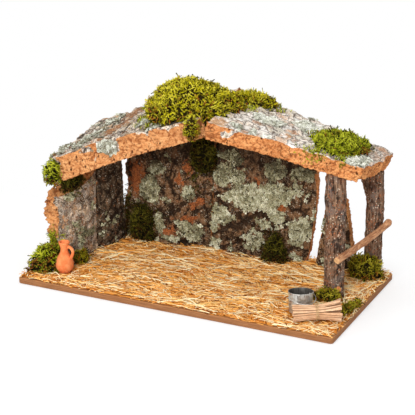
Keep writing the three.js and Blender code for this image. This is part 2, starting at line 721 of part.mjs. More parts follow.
function makeWalls() {
  const leftFront = {
    name: 'left_wall_front_slab',
    finish: finishes.bark,
    x: BOARD_LEFT + LEFT_WALL_INSET,
    y: BOARD_FRONT + LEFT_WALL_SETBACK,
    turn: 90 - LEFT_WALL_SKEW,
    length: LEFT_WALL_FRONT_LENGTH,
    thickness: LEFT_WALL_THICKNESS,
    bulge: LEFT_WALL_BULGE,
    columns: 8,
    rows: 8,
    seed: 0.7,
    height: (along) => mix(LEFT_WALL_FRONT_HEIGHT, LEFT_WALL_SEAM_HEIGHT, along ** 2),
    torn: [1, 0],
    start: (up) => WALL_TEAR * wander(TEAR_SPAN * up, 4) - LEFT_WALL_FOOT_REACH * (1 - up),
    end: () => LEFT_WALL_FRONT_LENGTH,
  };
  const seam = alongWall(leftFront, LEFT_WALL_FRONT_LENGTH + SLAB_JOINT, 0);
  const leftRear = {
    ...leftFront,
    name: 'left_wall_rear_slab',
    finish: finishes.darkBark,
    x: seam.x,
    y: seam.y,
    length: LEFT_WALL_REAR_LENGTH,
    columns: 6,
    rows: 9,
    seed: 2.9,
    height: null,
    torn: [0, 1],
    start: () => 0,
    end: (up) => LEFT_WALL_REAR_LENGTH - LEFT_WALL_REAR_DRAW * up ** 6 - Math.abs(wander(TEAR_SPAN * up, 2)),
  };
  const backLeft = {
    name: 'back_wall_left_slab',
    finish: finishes.bark,
    x: BOARD_LEFT + BACK_WALL_LEFT_INSET,
    y: BOARD_BACK - BACK_WALL_SETBACK,
    turn: BACK_WALL_SKEW,
    length: BACK_WALL_LEFT_LENGTH,
    thickness: BACK_WALL_THICKNESS,
    bulge: BACK_WALL_BULGE,
    columns: 12,
    rows: 10,
    seed: 5.3,
    height: null,
    torn: [1, 0],
    start: (up) => Math.abs(WALL_TEAR * wander(TEAR_SPAN * up, 1)),
    end: (up) => BACK_WALL_LEFT_LENGTH + BACK_WALL_SEAM_LEAN * up ** 2,
  };
  const middle = alongWall(backLeft, BACK_WALL_LEFT_LENGTH + SLAB_JOINT, 0);
  const stubX = rearPost.x - REAR_POST_DIAMETER / 2 - STUB_POST_GAP - STUB_LENGTH;
  const rightLength = (stubX - middle.x) / Math.cos(toRadians(BACK_WALL_SKEW)) - BACK_WALL_END_GAP;
  const backRight = {
    ...backLeft,
    name: 'back_wall_right_slab',
    x: middle.x,
    y: middle.y,
    length: rightLength,
    columns: 14,
    rows: 11,
    seed: 8.2,
    torn: [0, 1],
    start: (up) => BACK_WALL_SEAM_LEAN * up ** 2,
    end: (up) => rightLength + BACK_WALL_RIGHT_SPREAD * up ** 0.6 + WALL_TEAR * wander(TEAR_SPAN * up, 3),
  };
  const narrowing = (STUB_LENGTH - STUB_TOP_LENGTH) / 2;
  const stub = {
    name: 'back_wall_end_piece',
    finish: finishes.bark,
    x: stubX,
    y: BOARD_BACK - STUB_SETBACK,
    turn: STUB_SKEW,
    length: STUB_LENGTH,
    thickness: STUB_THICKNESS,
    bulge: STUB_BULGE,
    columns: 6,
    rows: 8,
    seed: 6.4,
    height: (along) => STUB_HEIGHT - STUB_SHOULDER * Math.abs(2 * along - 1),
    torn: [1, 1],
    start: (up) => narrowing * up ** 1.2 + TORN_RIM * wander(STUB_HEIGHT * up, 5),
    end: (up) => STUB_LENGTH - narrowing * up ** 1.5 + TORN_RIM * wander(STUB_HEIGHT * up, 2),
  };
  return [leftFront, leftRear, backLeft, backRight, stub];
}

// Place on the board of a point given along and through a wall
function alongWall(wall, along, through) {
  const turn = toRadians(wall.turn);
  return {
    x: wall.x + along * Math.cos(turn) - through * Math.sin(turn),
    y: wall.y + along * Math.sin(turn) + through * Math.cos(turn),
  };
}

// Standing slab with its bark face towards -Y of its own frame and its foot at height 0
function wallGeometry(wall, grow) {
  return latticeBody(wall.columns, wall.rows, 2, (u, v, w) => {
    const rim = 4 * w * (1 - w) * TORN_RIM * Math.abs(wander(3 * TEAR_SPAN * v, wall.seed));
    const outward = u === 0 ? -rim * wall.torn[0] : rim * wall.torn[1] * (u === 1);
    const along = mix(wall.start(v) - grow, wall.end(v) + grow, u) + outward;
    const rise = TEAR_SPAN * v;
    const relief = BARK_RELIEF * barkRelief(along, rise, wall.seed) * Math.sin(Math.PI * clamp01(u)) ** 0.4;
    const bark = -wall.bulge * Math.sin(Math.PI * u) - relief - grow;
    const behind = wall.thickness - WALL_BACK_ROUND * (2 * u - 1) ** 4 + grow;
    const through = mix(bark, behind, w);
    const place = alongWall(wall, along, through);
    const roof = roofUnderside(place.x, place.y) - 2 * SEAT_GAP - FLOOR;
    const top = (wall.height ? Math.min(roof, wall.height(u)) : roof) + grow;
    return [along, through, v * top];
  });
}

function wallSolid(wall, grow) {
  return toSolid(moved(wallGeometry(wall, grow), wall.x, wall.y, FLOOR, wall.turn));
}

// Board and straw

function makeBoard() {
  const rounded = new THREE.Shape();
  const half = new THREE.Vector2(BOARD_RIGHT, BOARD_BACK).subScalar(BOARD_EDGE_BREAK);
  const radius = BOARD_CORNER_RADIUS - BOARD_EDGE_BREAK;
  const corners = [[1, -1, -90], [1, 1, 0], [-1, 1, 90], [-1, -1, 180]];
  for (const [sx, sy, start] of corners) {
    const from = toRadians(start);
    rounded.absarc(sx * (half.x - radius), sy * (half.y - radius), radius, from, from + Math.PI / 2);
  }
  const plate = new THREE.ExtrudeGeometry(rounded, {
    depth: BOARD_THICKNESS - 2 * BOARD_EDGE_BREAK,
    bevelThickness: BOARD_EDGE_BREAK,
    bevelSize: BOARD_EDGE_BREAK,
    bevelSegments: 1,
    curveSegments: 5,
  });
  let board = toSolid(cleaned(plate.translate(0, 0, BOARD_EDGE_BREAK)));
  for (const post of [frontPost, rearPost]) {
    board = board.subtract(toSolid(moved(screwBody(SEAT_GAP), post.x, post.y, 0)));
  }
  return toGeometry(board);
}

// Straw litter over the board, open where walls and posts stand
function makeStrawBed() {
  const bed = latticeBody(24, 12, 1, (u, v, w) => {
    const edgeX = STRAW_MARGIN + STRAW_EDGE_WAVE * (1 + wander(BOARD_DEPTH * v, 3));
    const edgeY = STRAW_MARGIN + STRAW_EDGE_WAVE * (1 + wander(BOARD_LENGTH * u, 6));
    const x = mix(BOARD_LEFT + edgeX, BOARD_RIGHT - edgeX, u);
    const y = mix(BOARD_FRONT + edgeY, BOARD_BACK - edgeY, v);
    const hollow = STRAW_HOLLOWS * (0.5 + 0.5 * wander(1.7 * x + 0.9 * y, 2));
    return [x, y, FLOOR + w * (STRAW_DEPTH - hollow)];
  });
  let straw = toSolid(bed);
  for (const wall of walls) {
    straw = straw.subtract(wallSolid(wall, STRAW_ROUND_WALLS).translate([0, 0, -STRAW_DEPTH]));
  }
  for (const [post, diameter] of [[frontPost, FRONT_POST_DIAMETER], [rearPost, REAR_POST_DIAMETER]]) {
    const across = diameter + 2 * (LOG_FURROW + STRAW_ROUND_WALLS);
    const middle = new THREE.Vector3(post.x, post.y, STRAW_TOP);
    straw = straw.subtract(toSolid(barBody(across, 4 * STRAW_DEPTH, middle, upward(), 16)));
  }
  return toGeometry(straw);
}

function upward() {
  return new THREE.Vector3(0, 0, 1);
}

// Posts and rail

// Log standing on the board, cut to the roof's underside, with knots as bumps on its bark
function logBody(post, diameter, knots, grow) {
  const rings = 14;
  const sides = 16;
  const levels = Array.from({ length: rings + 1 }, (_, ring) => ring / rings);
  return ringBody(levels.map((level) => Array.from({ length: sides }, (_, side) => {
    const angle = 2 * Math.PI * side / sides;
    const height = level * (roofUnderside(post.x, post.y) - FLOOR);
    const furrow = LOG_FURROW * Math.abs(Math.sin(2.5 * angle + height / LOG_TWIST_SPAN + post.seed));
    const bumps = knots.reduce((sum, knot) => sum + knotBump(knot, angle, height), 0);
    const radius = diameter / 2 - furrow + bumps + grow;
    const x = post.x + radius * Math.cos(angle) + LOG_SWAY * Math.sin(Math.PI * level);
    const y = post.y + radius * Math.sin(angle);
    const top = roofUnderside(x, y) - SEAT_GAP + grow;
    return new THREE.Vector3(x, y, mix(FLOOR - grow, top, level));
  })));
}

function knotBump(knot, angle, height) {
  const turn = Math.atan2(Math.sin(angle - knot.angle), Math.cos(angle - knot.angle));
  const near = (turn / 0.45) ** 2 + ((height - knot.height) / knot.spread) ** 2;
  return knot.size * Math.exp(-near);
}

function postList() {
  const leftward = toRadians(200);
  return [
    {
      name: 'front_post',
      place: frontPost,
      diameter: FRONT_POST_DIAMETER,
      knots: [
        { angle: leftward, height: FRONT_KNOT_HEIGHT, size: FRONT_KNOT_SIZE, spread: KNOT_SPREAD },
        { angle: toRadians(250), height: RAIL_KNOT_HEIGHT, size: RAIL_KNOT_SIZE, spread: KNOT_SPREAD },
      ],
    },
    {
      name: 'rear_post',
      place: rearPost,
      diameter: REAR_POST_DIAMETER,
      knots: [
        { angle: leftward, height: STUB_BRANCH_HEIGHT, size: STUB_BRANCH_SIZE, spread: STUB_BRANCH_SPREAD },
      ],
    },
  ];
}

function addPosts() {
  for (const post of postList()) {
    const hole = toSolid(moved(screwBody(SEAT_GAP), post.place.x, post.place.y, 0));
    const log = toSolid(logBody(post.place, post.diameter, post.knots, 0)).subtract(hole);
    const geometry = toGeometry(log).translate(-post.place.x, -post.place.y, -FLOOR);
    addPiece(post.name, geometry, finishes.log).position.set(post.place.x, post.place.y, FLOOR);
    const screw = addPiece(`${post.name}_screw`, screwBody(0), finishes.steel);
    screw.position.set(post.place.x, post.place.y, 0);
  }
}

// Countersunk screw, point up, with its head just inside the board's underside
function screwBody(grow) {
  const shank = SCREW_DIAMETER / 2 + grow;
  const head = SCREW_HEAD_DIAMETER / 2 + grow;
  const foot = grow > 0 ? -1 : SCREW_SINK;
  const neck = SCREW_SINK + SCREW_HEAD_HEIGHT;
  const tip = FLOOR + SCREW_DEPTH_IN_POST + grow;
  const taper = SCREW_DIAMETER;
  return turnedBody([
    [0, foot], [head, foot], [head, SCREW_SINK], [shank, neck + grow],
    [shank, tip - taper], [0, tip],
  ], 12);
}

// Line in plan that touches both posts on their right-hand side, a rail's radius away
function railLine() {
  const reach = (diameter) => (diameter + RAIL_DIAMETER) / 2 + SEAT_GAP;
  const front = reach(FRONT_POST_DIAMETER);
  const rear = reach(REAR_POST_DIAMETER);
  const between = new THREE.Vector2(rearPost.x - frontPost.x, rearPost.y - frontPost.y);
  const along = between.angle() - Math.asin((rear - front) / between.length());
  const out = new THREE.Vector2(Math.sin(along), -Math.cos(along));
  const direction = new THREE.Vector2(Math.cos(along), Math.sin(along));
  return {
    direction,
    out,
    start: out.clone().multiplyScalar(front).add(frontPost),
    length: between.length() * Math.cos(between.angle() - along),
  };
}

function addRail() {
  const line = railLine();
  const steps = 10;
  const length = line.length + RAIL_FRONT_REACH + RAIL_REAR_REACH;
  const points = Array.from({ length: steps + 1 }, (_, step) => {
    const share = step / steps;
    const along = share * length - RAIL_FRONT_REACH;
    const bow = RAIL_BOW * Math.sin(Math.PI * clamp01(along / line.length));
    return new THREE.Vector3(
      line.start.x + along * line.direction.x + bow * line.out.x,
      line.start.y + along * line.direction.y + bow * line.out.y,
      BOARD_TOP + mix(RAIL_FRONT_HEIGHT, RAIL_REAR_HEIGHT, share),
    );
  });
  const origin = points[0].clone();
  const flat = (share, angle) => 0.05 * Math.abs(Math.sin(2 * angle + 4 * share));
  const thickness = (share, angle) => RAIL_DIAMETER / 2 * (1 - flat(share, angle));
  const rail = sweptBody(points.map((point) => point.sub(origin)), 10, thickness);
  addPiece('side_rail', rail, finishes.twig).position.copy(origin);
}

// Moss

// Lumpy cushion of moss about the origin
function mossCushion(width, depth, height, seed) {
  const cushion = new THREE.SphereGeometry(1, 12, 8);
  const place = cushion.attributes.position;
  for (let i = 0; i < place.count; i += 1) {
    const point = new THREE.Vector3().fromBufferAttribute(place, i);
    const lumps = Math.sin(4 * point.x + seed) * Math.sin(5 * point.y + 2 * seed);
    const swell = 1 + 0.16 * lumps + 0.08 * Math.sin(6 * point.z + seed);
    place.setXYZ(i, ...point.multiplyScalar(swell).toArray());
  }
  cushion.scale(width / 2, depth / 2, height / 2);
  return cushion;
}

function addMoss() {
  const roofs = [roofSlab(LEFT_ROOF, SEAT_GAP), roofSlab(RIGHT_ROOF, SEAT_GAP)].map(toSolid);
  const grownWalls = walls.map((wall) => wallSolid(wall, SEAT_GAP));
  const [leftFront, leftRear, backLeft, backRight, stub] = grownWalls;
  const [frontLog, rearLog] = postList().map(
    (post) => toSolid(logBody(post.place, post.diameter, post.knots, SEAT_GAP)),
  );
  const ground = boxBody(2 * BOARD_LENGTH, 2 * BOARD_DEPTH, BOARD_DEPTH, 0, 0, STAND - BOARD_DEPTH / 2);
  const below = toSolid(ground);
  const jug = toSolid(moved(jugOuter(SEAT_GAP), jugPlace().x, jugPlace().y, STAND));
  const byWall = (wall, along, through, rise) => {
    const place = alongWall(wall, along, through);
    return new THREE.Vector3(place.x, place.y, STAND + rise);
  };
  const byPost = (post, right, back) => new THREE.Vector3(post.x + right, post.y + back, STAND);
  const [frontWall, , cornerWall, seamWall] = walls;
  const clumps = [
    {
      name: 'moss_ridge',
      at: onRoof(LEFT_ROOF, RIDGE_MOSS_FROM_RIDGE, RIDGE_MOSS_FROM_FRONT),
      size: [RIDGE_MOSS_LENGTH, RIDGE_MOSS_DEPTH, RIDGE_MOSS_HEIGHT],
      turn: RIDGE_MOSS_TURN,
      seed: 1.3,
      carriers: roofs,
    },
    {
      name: 'moss_ridge_right',
      at: onRoof(RIGHT_ROOF, RIDGE_RIGHT_MOSS_FROM_RIDGE, RIDGE_RIGHT_MOSS_FROM_FRONT),
      size: [RIDGE_RIGHT_MOSS_LENGTH, RIDGE_RIGHT_MOSS_DEPTH, RIDGE_RIGHT_MOSS_HEIGHT],
      turn: RIDGE_RIGHT_MOSS_TURN,
      seed: 2.2,
      carriers: roofs,
    },
    {
      name: 'moss_ridge_tail',
      at: new THREE.Vector3(
        RIDGE_OFFSET - RIDGE_TAIL_LEFT_OF_RIDGE,
        ROOF_FRONT - RIDGE_TAIL_FORWARD,
        BOARD_TOP + RIDGE_FRONT_HEIGHT + RIDGE_TAIL_RISE,
      ),
      size: [RIDGE_TAIL_LENGTH, RIDGE_TAIL_DEPTH, RIDGE_TAIL_HEIGHT],
      turn: 0,
      seed: 3.1,
      carriers: roofs,
    },
    {
      name: 'moss_roof_right',
      at: onRoof(RIGHT_ROOF, ROOF_RIGHT_MOSS_FROM_RIDGE, ROOF_RIGHT_MOSS_FROM_FRONT),
      size: [ROOF_RIGHT_MOSS_LENGTH, ROOF_RIGHT_MOSS_DEPTH, ROOF_RIGHT_MOSS_HEIGHT],
      turn: ROOF_RIGHT_MOSS_TURN,
      seed: 4.4,
      carriers: roofs,
    },
    {
      name: 'moss_left_eave',
      at: new THREE.Vector3(
        LEFT_ROOF.eaveX - EAVE_MOSS_OUT,
        ROOF_FRONT - EAVE_MOSS_FORWARD,
        BOARD_TOP + LEFT_EAVE_FRONT_HEIGHT + EAVE_MOSS_RISE,
      ),
      size: [EAVE_MOSS_LENGTH, EAVE_MOSS_DEPTH, EAVE_MOSS_HEIGHT],
      turn: 0,
      seed: 5.2,
      carriers: [...roofs, leftFront],
    },
    {
      name: 'moss_wall_top',
      at: byWall(frontWall, WALL_TOP_MOSS_ALONG, WALL_TOP_MOSS_THROUGH, WALL_TOP_MOSS_RISE),
      size: [WALL_TOP_MOSS_LENGTH, WALL_TOP_MOSS_DEPTH, WALL_TOP_MOSS_HEIGHT],
      turn: WALL_TOP_MOSS_TURN,
      seed: 0.4,
      carriers: [...roofs, leftFront, leftRear],
    },
    {
      name: 'moss_left_front',
      at: new THREE.Vector3(BOARD_LEFT + LEFT_FRONT_MOSS_INSET, BOARD_FRONT + LEFT_FRONT_MOSS_SETBACK, STAND),
      size: [LEFT_FRONT_MOSS_LENGTH, LEFT_FRONT_MOSS_DEPTH, LEFT_FRONT_MOSS_HEIGHT],
      turn: LEFT_FRONT_MOSS_TURN,
      seed: 1.9,
      carriers: [leftFront, jug],
    },
    {
      name: 'moss_beside_jug',
      at: byWall(frontWall, JUG_MOSS_ALONG, -JUG_MOSS_PROUD, 0),
      size: [JUG_MOSS_LENGTH, JUG_MOSS_DEPTH, JUG_MOSS_HEIGHT],
      turn: JUG_MOSS_TURN,
      seed: 2.7,
      carriers: [leftFront, leftRear, jug],
    },
    {
      name: 'moss_back_left',
      at: byWall(cornerWall, BACK_LEFT_MOSS_ALONG, -BACK_LEFT_MOSS_PROUD, 0),
      size: [BACK_LEFT_MOSS_LENGTH, BACK_LEFT_MOSS_DEPTH, BACK_LEFT_MOSS_HEIGHT],
      turn: BACK_LEFT_MOSS_TURN,
      seed: 3.5,
      carriers: [leftRear, backLeft],
    },
    {
      name: 'moss_back_seam',
      at: byWall(seamWall, -SEAM_MOSS_LEFT_OF_SEAM, -SEAM_MOSS_PROUD, SEAM_MOSS_RISE),
      size: [SEAM_MOSS_LENGTH, SEAM_MOSS_DEPTH, SEAM_MOSS_HEIGHT],
      turn: 0,
      seed: 4.9,
      carriers: [backLeft, backRight, ...roofs],
    },
    {
      name: 'moss_back_right',
      at: byWall(seamWall, seamWall.length - BACK_RIGHT_MOSS_FROM_END, -BACK_RIGHT_MOSS_PROUD, 0),
      size: [BACK_RIGHT_MOSS_LENGTH, BACK_RIGHT_MOSS_DEPTH, BACK_RIGHT_MOSS_HEIGHT],
      turn: 0,
      seed: 0.9,
      carriers: [backRight],
    },
    {
      name: 'moss_front_post',
      at: byPost(frontPost, -FRONT_POST_MOSS_LEFTWARD, -FRONT_POST_MOSS_FORWARD),
      size: [FRONT_POST_MOSS_LENGTH, FRONT_POST_MOSS_DEPTH, FRONT_POST_MOSS_HEIGHT],
      turn: FRONT_POST_MOSS_TURN,
      seed: 2.4,
      carriers: [frontLog],
    },
    {
      name: 'moss_rear_post',
      at: byPost(rearPost, -REAR_POST_MOSS_LEFTWARD, -REAR_POST_MOSS_FORWARD),
      size: [REAR_POST_MOSS_LENGTH, REAR_POST_MOSS_DEPTH, REAR_POST_MOSS_HEIGHT],
      turn: REAR_POST_MOSS_TURN,
      seed: 3.9,
      carriers: [rearLog, stub],
    },
    {
      name: 'moss_right_edge',
      at: new THREE.Vector3(
        BOARD_RIGHT - RIGHT_EDGE_MOSS_INSET,
        BOARD_FRONT + RIGHT_EDGE_MOSS_SETBACK,
        STAND,
      ),
      size: [RIGHT_EDGE_MOSS_LENGTH, RIGHT_EDGE_MOSS_DEPTH, RIGHT_EDGE_MOSS_HEIGHT],
      turn: RIGHT_EDGE_MOSS_TURN,
      seed: 5.8,
      carriers: [frontLog],
    },
  ];
  const earlier = [];
  for (const { name, at, size, turn, seed, carriers } of clumps) {
    const solid = (grow) => {
      const cushion = mossCushion(...size.map((side) => side + 2 * grow), seed);
      return toSolid(cleaned(moved(cushion, at.x, at.y, at.z, turn)));
    };
    const moss = [...carriers, below, ...earlier].reduce((rest, cut) => rest.subtract(cut), solid(0));
    earlier.push(solid(2 * SEAT_GAP));
    const geometry = toGeometry(moss).translate(-at.x, -at.y, -at.z);
    addPiece(name, geometry, finishes.moss).position.copy(at);
  }
}

// Jug

function jugPlace() {
  return { x: BOARD_LEFT + JUG_LEFT_INSET, y: BOARD_FRONT + JUG_SETBACK };
}

// Half outline of the jug's outside, from foot to rim
function jugProfile(grow) {
  const half = (diameter) => diameter / 2 + grow;
  const curve = new THREE.SplineCurve([
    new THREE.Vector2(half(JUG_BASE_DIAMETER), 0),
    new THREE.Vector2(half(JUG_BODY_DIAMETER) * 0.93, JUG_HEIGHT * 0.13),
    new THREE.Vector2(half(JUG_BODY_DIAMETER), JUG_HEIGHT * 0.27),
    new THREE.Vector2(half(JUG_BODY_DIAMETER) * 0.86, JUG_HEIGHT * 0.45),
    new THREE.Vector2(half(JUG_NECK_DIAMETER) * 1.12, JUG_HEIGHT * 0.66),
    new THREE.Vector2(half(JUG_NECK_DIAMETER), JUG_HEIGHT * 0.8),
    new THREE.Vector2(half(JUG_RIM_DIAMETER) * 0.97, JUG_HEIGHT * 0.95),
    new THREE.Vector2(half(JUG_RIM_DIAMETER), JUG_HEIGHT * 0.985),
  ]);
  return curve.getPoints(14).map((point) => [point.x, point.y]);
}

function jugOuter(grow) {
  return turnedBody([[0, 0], ...jugProfile(grow), [0, JUG_HEIGHT]], 20);
}

function jugHandlePath() {
  const neck = JUG_NECK_DIAMETER / 2;
  return new THREE.CatmullRomCurve3([
    new THREE.Vector3(neck - 0.6, 0, JUG_HEIGHT * 0.83),
    new THREE.Vector3(neck + 3.4, 0, JUG_HEIGHT * 0.85),
    new THREE.Vector3(JUG_HANDLE_REACH, 0, JUG_HEIGHT * 0.76),
    new THREE.Vector3(JUG_HANDLE_REACH + 0.4, 0, JUG_HEIGHT * 0.64),
    new THREE.Vector3(JUG_BODY_DIAMETER * 0.39, 0, JUG_HEIGHT * 0.48),
  ]);
}

function addJug() {
  const outside = jugProfile(0);
  const inside = outside.slice().reverse().map(([radius, height]) => [
    Math.max(radius - JUG_WALL, JUG_WALL), Math.max(height, JUG_WALL),
  ]);
  const lip = [JUG_RIM_DIAMETER / 2 - JUG_WALL / 2, JUG_HEIGHT];
  const vessel = turnedBody([[0, 0], ...outside, lip, ...inside, [0, JUG_WALL]], 20);
  const bore = turnedBody([[0, JUG_WALL], ...inside.slice().reverse(), [0, JUG_HEIGHT]], 20);
  const handle = sweptBody(jugHandlePath().getPoints(12), 8, () => JUG_HANDLE_DIAMETER / 2);
  const jug = toSolid(vessel).add(toSolid(handle)).subtract(toSolid(bore));
  const place = jugPlace();
  addPiece('clay_jug', toGeometry(jug), finishes.clay).position.set(place.x, place.y, STAND);
}

// Pail and bail

function pailRadius(height) {
  return mix(PAIL_BASE_DIAMETER, PAIL_RIM_DIAMETER, height / PAIL_HEIGHT) / 2;
}

// Bead rolled into the sheet, as outline points on one side of the wall
function beadPoints(height, size) {
  return [-1, -0.5, 0.5, 1].map((step) => [
    pailRadius(height + step * size) + size * (1 - step * step) * 1.3,
    height + step * 2 * size,
  ]);
}

function pailBody() {
  const rimHeight = PAIL_HEIGHT - PAIL_RIM_BEAD;
  const inner = (height) => pailRadius(height) - PAIL_WALL;
  const roll = [-100, -40, 20, 80, 140, 190].map((degrees) => {
    const angle = toRadians(degrees);
    return [
      pailRadius(PAIL_HEIGHT) - PAIL_WALL / 2 + PAIL_RIM_BEAD * Math.cos(angle) + PAIL_WALL / 4,
      rimHeight + PAIL_RIM_BEAD * Math.sin(angle),
    ];
  });
  return turnedBody([
    [0, PAIL_FOOT],
    [inner(0), PAIL_FOOT],
    [inner(0), 0],
    [pailRadius(0), 0],
    ...beadPoints(PAIL_BODY_BEAD_HEIGHT, PAIL_BODY_BEAD),
    ...roll,
    [inner(rimHeight - 2 * PAIL_RIM_BEAD), rimHeight - 2 * PAIL_RIM_BEAD],
    [inner(PAIL_FOOT + PAIL_WALL), PAIL_FOOT + PAIL_WALL],
    [0, PAIL_FOOT + PAIL_WALL],
  ], 24);
}

function pivotHeight() {
  return PAIL_HEIGHT - EAR_BELOW_RIM;
}

// Round-topped ear riveted flat against the wall, on the side given by its sign
function earBody(sign) {
  const wall = pailRadius(pivotHeight());
  const middle = new THREE.Vector3(sign * (wall + EAR_THICKNESS / 2 - PAIL_WALL / 2), 0, pivotHeight());
  return barBody(EAR_WIDTH, EAR_THICKNESS + PAIL_WALL, middle, new THREE.Vector3(1, 0, 0), 12);
}

function bailHalfWidth() {
  return pailRadius(PAIL_HEIGHT) + PAIL_RIM_BEAD + BAIL_WIRE / 2 + BAIL_SIDE_CLEARANCE + BAIL_BULGE;
}

// Reach of the bow from its pivots, enough to swing over the rim
function bailReach() {
  const rim = pailRadius(PAIL_HEIGHT) + PAIL_RIM_BEAD;
  return Math.hypot(rim, EAR_BELOW_RIM) + BAIL_WIRE / 2 + BAIL_RIM_CLEARANCE;
}

// Bail in its own frame: pivots along X, bow towards -Z, hooked ends inside the pail
function bailBody() {
  const half = bailHalfWidth();
  const hookX = pailRadius(pivotHeight() - BAIL_HOOK) - PAIL_WALL - BAIL_WIRE / 2 - BAIL_SIDE_CLEARANCE;
  const bend = BAIL_WIRE;
  const side = (sign) => [
    new THREE.Vector3(sign * hookX, 0, BAIL_HOOK),
    new THREE.Vector3(sign * hookX, 0, bend),
    new THREE.Vector3(sign * (hookX + 0.3 * bend), 0, 0.3 * bend),
    new THREE.Vector3(sign * (hookX + bend), 0, 0),
    new THREE.Vector3(sign * (half - bend), 0, 0),
    new THREE.Vector3(sign * (half - 0.3 * bend), 0, -0.3 * bend),
  ];
  const steps = 22;
  const bow = Array.from({ length: steps - 1 }, (_, step) => {
    const angle = Math.PI * (step + 1) / steps;
    return new THREE.Vector3(half * Math.cos(angle), 0, -bend - (bailReach() - bend) * Math.sin(angle));
  });
  const points = [
    ...side(1), new THREE.Vector3(half, 0, -bend), ...bow, new THREE.Vector3(-half, 0, -bend),
    ...side(-1).reverse(),
  ];
  return sweptBody(points, 8, () => BAIL_WIRE / 2, new THREE.Vector3(0, 1, 0));
}

function addPail() {
  const pail = new THREE.Group();
  const raised = PAIL_BASE_DIAMETER / 2 * Math.sin(toRadians(Math.hypot(PAIL_LEAN_BACK, PAIL_LEAN_LEFT)));
  pail.position.set(BOARD_RIGHT - PAIL_RIGHT_INSET, BOARD_FRONT + PAIL_SETBACK, STAND + raised);
  pail.rotation.set(-toRadians(PAIL_LEAN_BACK), -toRadians(PAIL_LEAN_LEFT), toRadians(PAIL_TURN));
  stable.add(pail);
  const across = new THREE.Vector3(1, 0, 0);
  const inside = turnedBody([
    [0, PAIL_FOOT + PAIL_WALL],
    [pailRadius(PAIL_FOOT + PAIL_WALL) - PAIL_WALL, PAIL_FOOT + PAIL_WALL],
    [pailRadius(PAIL_HEIGHT) - PAIL_WALL, PAIL_HEIGHT],
    [0, PAIL_HEIGHT],
  ], 24);
  const pivot = new THREE.Vector3(0, 0, pivotHeight());
  const holes = barBody(BAIL_WIRE + 2 * BAIL_HOLE_CLEARANCE, 2 * PAIL_RIM_DIAMETER, pivot, across, 10);
  const body = toSolid(pailBody())
    .add(toSolid(earBody(1)).subtract(toSolid(inside)))
    .add(toSolid(earBody(-1)).subtract(toSolid(inside)))
    .subtract(toSolid(holes));
  addPiece('pail_body', toGeometry(body), finishes.zinc, pail);
  const bail = addPiece('pail_bail', bailBody(), finishes.zinc, pail);
  bail.position.set(0, 0, pivotHeight());
  bail.rotation.x = -toRadians(BAIL_REST_ANGLE);
}

// Bundle of kindling and its twine

// Share of the way that the bundle has opened, from 0 at the waist to 1 at an end
function opening(along) {
  return Math.abs(2 * along / BUNDLE_LENGTH) ** 1.5;
}

// Radius of the bundle's outside along its length
function bundleRadius(along) {
  const waist = OUTER_STICK_RADIUS + STICK_THICKNESS / 2;
  return mix(waist, along < 0 ? BUNDLE_LEFT_RADIUS : BUNDLE_RIGHT_RADIUS, opening(along));
}

// Half the width that a stick can have at a radius when its ring lies side by side at the waist
function halfWidth(radius, count, widest) {
  return Math.min(widest / 2, radius * Math.tan(Math.PI / count) - STICK_GAP / 2);
}

// Split stick in a ring round the bundle's axis: wedge-shaped across, splayed from the waist
function stickBody(ring, index) {
  const steps = 6;
  const angle = 2 * Math.PI * (index + 0.5) / ring.count;
  const outward = new THREE.Vector3(0, Math.cos(angle), Math.sin(angle));
  const sideways = new THREE.Vector3(0, -Math.sin(angle), Math.cos(angle));
  const half = STICK_THICKNESS / 2;
  const trim = STICK_TRIM * Math.abs(wander(70 * index, index));
  const wide = halfWidth(ring.radius + half, ring.count, ring.width);
  const narrow = halfWidth(ring.radius - half, ring.count, ring.width);
  const section = [
    [half, -wide + trim / 2], [half + 0.1, 0], [half - trim / 2, wide],
    [-half, narrow], [-half, -narrow],
  ];
  return ringBody(Array.from({ length: steps + 1 }, (_, step) => {
    const end = step % steps === 0 ? wander(90 * index, ring.count) : 0;
    const along = BUNDLE_LENGTH * (step / steps - 0.5) + end;
    const splay = ring.spread * (bundleRadius(along) - bundleRadius(0));
    return section.map(([out, side]) => new THREE.Vector3(along, 0, 0)
      .addScaledVector(outward, ring.radius + splay + out - 0.1)
      .addScaledVector(sideways, side));
  }));
}

function addBundle() {
  const bundle = new THREE.Group();
  const tilt = Math.atan((BUNDLE_RIGHT_RADIUS - BUNDLE_LEFT_RADIUS) / BUNDLE_LENGTH);
  const height = STAND + (BUNDLE_LEFT_RADIUS + BUNDLE_RIGHT_RADIUS) / 2 + STICK_GAP;
  bundle.position.set(BOARD_RIGHT - BUNDLE_RIGHT_INSET, BOARD_FRONT + BUNDLE_SETBACK, height);
  bundle.rotation.set(0, -tilt, toRadians(BUNDLE_TURN), 'ZYX');
  stable.add(bundle);
  const rings = [
    { name: 'outer', count: OUTER_STICKS, radius: OUTER_STICK_RADIUS, width: STICK_WIDTH, spread: 1 },
    {
      name: 'inner',
      count: INNER_STICKS,
      radius: INNER_STICK_RADIUS,
      width: INNER_STICK_WIDTH,
      spread: INNER_STICK_SPREAD,
    },
  ];
  for (const ring of rings) {
    for (let i = 0; i < ring.count; i += 1) {
      addPiece(`kindling_${ring.name}_${i + 1}`, stickBody(ring, i), finishes.kindling, bundle);
    }
  }
  addPiece('bundle_twine', twineBody(), finishes.twine, bundle);
}

